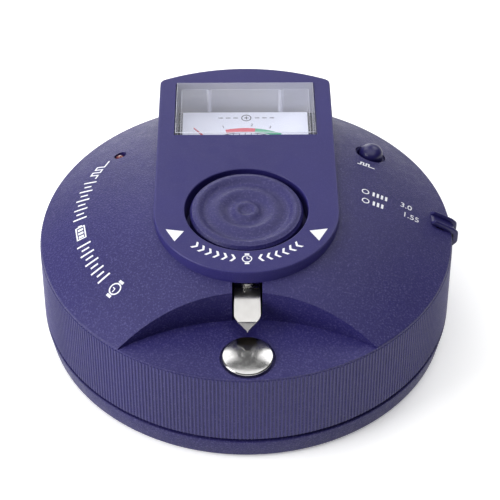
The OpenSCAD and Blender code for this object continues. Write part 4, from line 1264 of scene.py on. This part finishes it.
# Maker, name, colour and grain of each inner finish, then the nodes that wear it
INNER_FINISHES = (
    (metal, "zinc_plate", (0.56, 0.57, 0.6), dict(rough=0.28, scale=1200, smudge=0.15),
     "meter_yoke meter_clamps needle_staff slide_switch "
     "board_screws platform_screws case_screws meter_screws"),
    (metal, "soft_nickel", (0.74, 0.73, 0.7), dict(rough=0.24),
     "strip_root strip_screw contact_tag contact_nut battery_terminals meter_terminals led_legs"),
    (metal, "bare_brass", (0.72, 0.52, 0.2), dict(rough=0.26, scale=1400, smudge=0.2),
     "meter_bridge core_holder hairspring"),
    (metal, "aged_brass", (0.16, 0.13, 0.09), dict(rough=0.45), "strip_post"),
    (metal, "enamelled_wire", (0.5, 0.18, 0.06),
     dict(rough=0.3, stretch=(0.1, 0.1, 6), scale=1400, bump=0.05, metallic=0.8),
     "moving_coil coil_winding coil_leads"),
    (metal, "ferrite", (0.08, 0.08, 0.085), dict(rough=0.55, metallic=0.3, bump=0.01),
     "coil_core meter_magnet"),
    (plastic, "black_moulding", (0.02, 0.02, 0.024), dict(rough=0.42, grain=0.5, scale=2400, bump=0.01),
     "meter_body coil_bobbin tact_switch ic_chips battery_snap switch_lever transistors"),
    (plastic, "solder_mask", (0.02, 0.16, 0.06), dict(rough=0.3, grain=0.4, scale=900, bump=0.01),
     "circuit_board"),
    (plastic, "resistor_lacquer", (0.55, 0.38, 0.2), dict(rough=0.3, grain=0.2), "resistors"),
    (plastic, "capacitor_sleeve", (0.02, 0.04, 0.18), dict(rough=0.25, grain=0.1), "electrolytic_capacitors"),
    (plastic, "ceramic_dip", (0.55, 0.2, 0.03), dict(rough=0.4, grain=0.4), "ceramic_capacitors"),
    (plastic, "trimmer_moulding", (0.03, 0.12, 0.5), dict(rough=0.3, grain=0.2), "trimmer_pot"),
    (plastic, "plunger_moulding", (0.6, 0.6, 0.62), dict(rough=0.4, grain=0.2), "switch_plunger"),
    (plastic, "battery_jacket", (0.05, 0.052, 0.06), dict(rough=0.3, grain=0.15, coat=0.2), "battery"),
)
LEAD_COLOURS = {"red_lead": (0.5, 0.02, 0.02), "black_lead": (0.015, 0.015, 0.015),
                "meter_leads": (0.6, 0.45, 0.03), "contact_lead": (0.7, 0.7, 0.72)}


class TESTER_OT_inside(bpy.types.Operator):
    """Finishes of the inner parts, the battery and the underside"""
    bl_idname = "tester.inside"
    bl_label = "Inside and underside"

    def execute(self, context):
        for maker, name, colour, look, dressed in INNER_FINISHES:
            dress(maker(name, colour, **look), *dressed.split())
        for name, colour in LEAD_COLOURS.items():
            dress(plastic("pvc_" + name, colour, rough=0.38, grain=0.2, scale=2500, bump=0.005), name)
        rubber = plastic("feet_rubber", (0.018, 0.018, 0.02), rough=0.7, grain=0.8, scale=1800, bump=0.02)
        dress(rubber, "door_foam")
        self.feet(rubber)
        rounded_node("battery_door", "bay_door", case_plastic("case_textured"), 0.2 * MM)
        return {"FINISHED"}

    def feet(self, rubber):
        r, k, top = 4.5 * MM, 0.3 * MM, 2 * BASE_LIFT
        profile = [(0, 0), (4.2 * MM, 0)] + fillet(4.2 * MM, k, k, -90, 0, 3) + [(r, top), (0, top)]
        pieces = [finish_mesh(lathe(profile, 64, polar(FOOT_RING, angle)), "foot", rubber)
                  for angle in (0, 90, 180, 270)]
        feet = joined(pieces, "rubber_pads")
        smooth(feet)
        ride_for(feet, "rubber_feet")


# ---------------------------------------------------------------- stage

class TESTER_OT_stage(bpy.types.Operator):
    """Pale floor, soft studio light and the camera"""
    bl_idname = "tester.stage"
    bl_label = "Stage"

    def execute(self, context):
        self.floor()
        self.world(context)
        self.lights(context)
        self.camera(context)
        return {"FINISHED"}

    def floor(self):
        mesh = bpy.data.meshes.new("floor")
        s = 3.0
        mesh.from_pydata([(-s, -s, 0), (s, -s, 0), (s, s, 0), (-s, s, 0)], [], [(0, 1, 2, 3)])
        floor = link(mesh, "floor")
        mat, tree, shader = start_material("floor_white")
        tone = noise(tree, object_coords(tree), 3.0)
        pale = mix_colour(tree, tone, (0.93, 0.93, 0.93, 1), (0.95, 0.95, 0.95, 1))
        put(tree, shader.inputs["Base Color"], pale)
        shader.inputs["Roughness"].default_value = 0.9
        shader.inputs["Specular IOR Level"].default_value = 0.1
        shader.inputs["Emission Color"].default_value = (1, 1, 1, 1)
        shader.inputs["Emission Strength"].default_value = 0.32
        mesh.materials.append(mat)

    def world(self, context):
        world = bpy.data.worlds.new("studio")
        world.use_nodes = True
        tree = world.node_tree
        back = tree.nodes["Background"]
        coords = tree.nodes.new("ShaderNodeTexCoord")
        split = tree.nodes.new("ShaderNodeSeparateXYZ")
        tree.links.new(coords.outputs["Generated"], split.inputs[0])
        rear = map_range(tree, split.outputs["Y"], -0.9, 0.9, 0.05, 0.22)
        left = map_range(tree, split.outputs["X"], -0.9, 0.9, 0.06, -0.02)
        tree.links.new(math_node(tree, "ADD", rear, left), back.inputs["Strength"])
        back.inputs["Color"].default_value = (0.97, 0.98, 1.0, 1)
        context.scene.world = world
        context.scene.view_settings.view_transform = "Standard"

    def lights(self, context):
        aim = Vector((0, 0, 0.02))
        for name, at, size, power in (
                ("soft_top", (0, -0.1, 1.05), 1.2, 7.4),
                ("soft_front_left", (-0.7, -0.26, 0.4), 0.5, 6.0),
                ("soft_rear_left", (-0.42, 0.70, 0.72), 0.5, 2.0),
                ("soft_rear_right", (0.43, 0.70, 0.72), 0.5, 2.2),
                ("soft_rear", (-0.1, 0.8, 0.22), 0.4, 1.3)):
            data = bpy.data.lights.new(name, "AREA")
            data.shape = "SQUARE"
            data.size = size
            data.energy = power
            lamp = link(data, name)
            lamp.location = at
            lamp.rotation_euler = (aim - Vector(at)).to_track_quat("-Z", "Y").to_euler()

    def camera(self, context):
        view = context.scene.tester_stage
        data = bpy.data.cameras.new("camera")
        data.lens = view.lens
        data.sensor_width = 36
        data.shift_x = view.shift
        data.clip_start = 0.01
        camera = link(data, "camera")
        target = Vector((0, 0, 20 * MM))
        level = cos(view.elevation)
        back = Vector((sin(view.azimuth) * level, -cos(view.azimuth) * level, sin(view.elevation)))
        camera.location = target + back * view.distance
        camera.rotation_euler = (-back).to_track_quat("-Z", "Y").to_euler()
        context.scene.camera = camera


# ---------------------------------------------------------------- add-on

OPERATORS = (TESTER_OT_stage, TESTER_OT_case, TESTER_OT_platform, TESTER_OT_meter, TESTER_OT_print,
             TESTER_OT_contact, TESTER_OT_controls, TESTER_OT_inside)


class TESTER_PT_panel(bpy.types.Panel):
    """Builders of the tester's pieces"""
    bl_idname = "TESTER_PT_panel"
    bl_label = "Watch and Cell Tester"
    bl_space_type = "VIEW_3D"
    bl_region_type = "UI"
    bl_category = "Tester"

    def draw(self, context):
        for step in OPERATORS:
            self.layout.operator(step.bl_idname)
        for settings in (context.scene.tester_case, context.scene.tester_print, context.scene.tester_dial,
                         context.scene.tester_stage):
            block = self.layout.box()
            for field in settings.__annotations__:
                block.prop(settings, field)


SETTINGS = {"tester_case": TESTER_PG_case, "tester_print": TESTER_PG_print, "tester_dial": TESTER_PG_dial,
            "tester_stage": TESTER_PG_stage}
CLASSES = (*SETTINGS.values(), *OPERATORS, TESTER_PT_panel)


def register():
    for item in CLASSES:
        bpy.utils.register_class(item)
    for name, settings in SETTINGS.items():
        setattr(bpy.types.Scene, name, PointerProperty(type=settings))


def unregister():
    for name in SETTINGS:
        delattr(bpy.types.Scene, name)
    for item in reversed(CLASSES):
        bpy.utils.unregister_class(item)


def main():
    register()
    bpy.ops.tester.stage()
    bpy.ops.tester.case()
    bpy.ops.tester.platform()
    bpy.ops.tester.meter()
    bpy.ops.tester.print()
    bpy.ops.tester.contact()
    bpy.ops.tester.controls()
    bpy.ops.tester.inside()


if __name__ == "__main__":
    main()
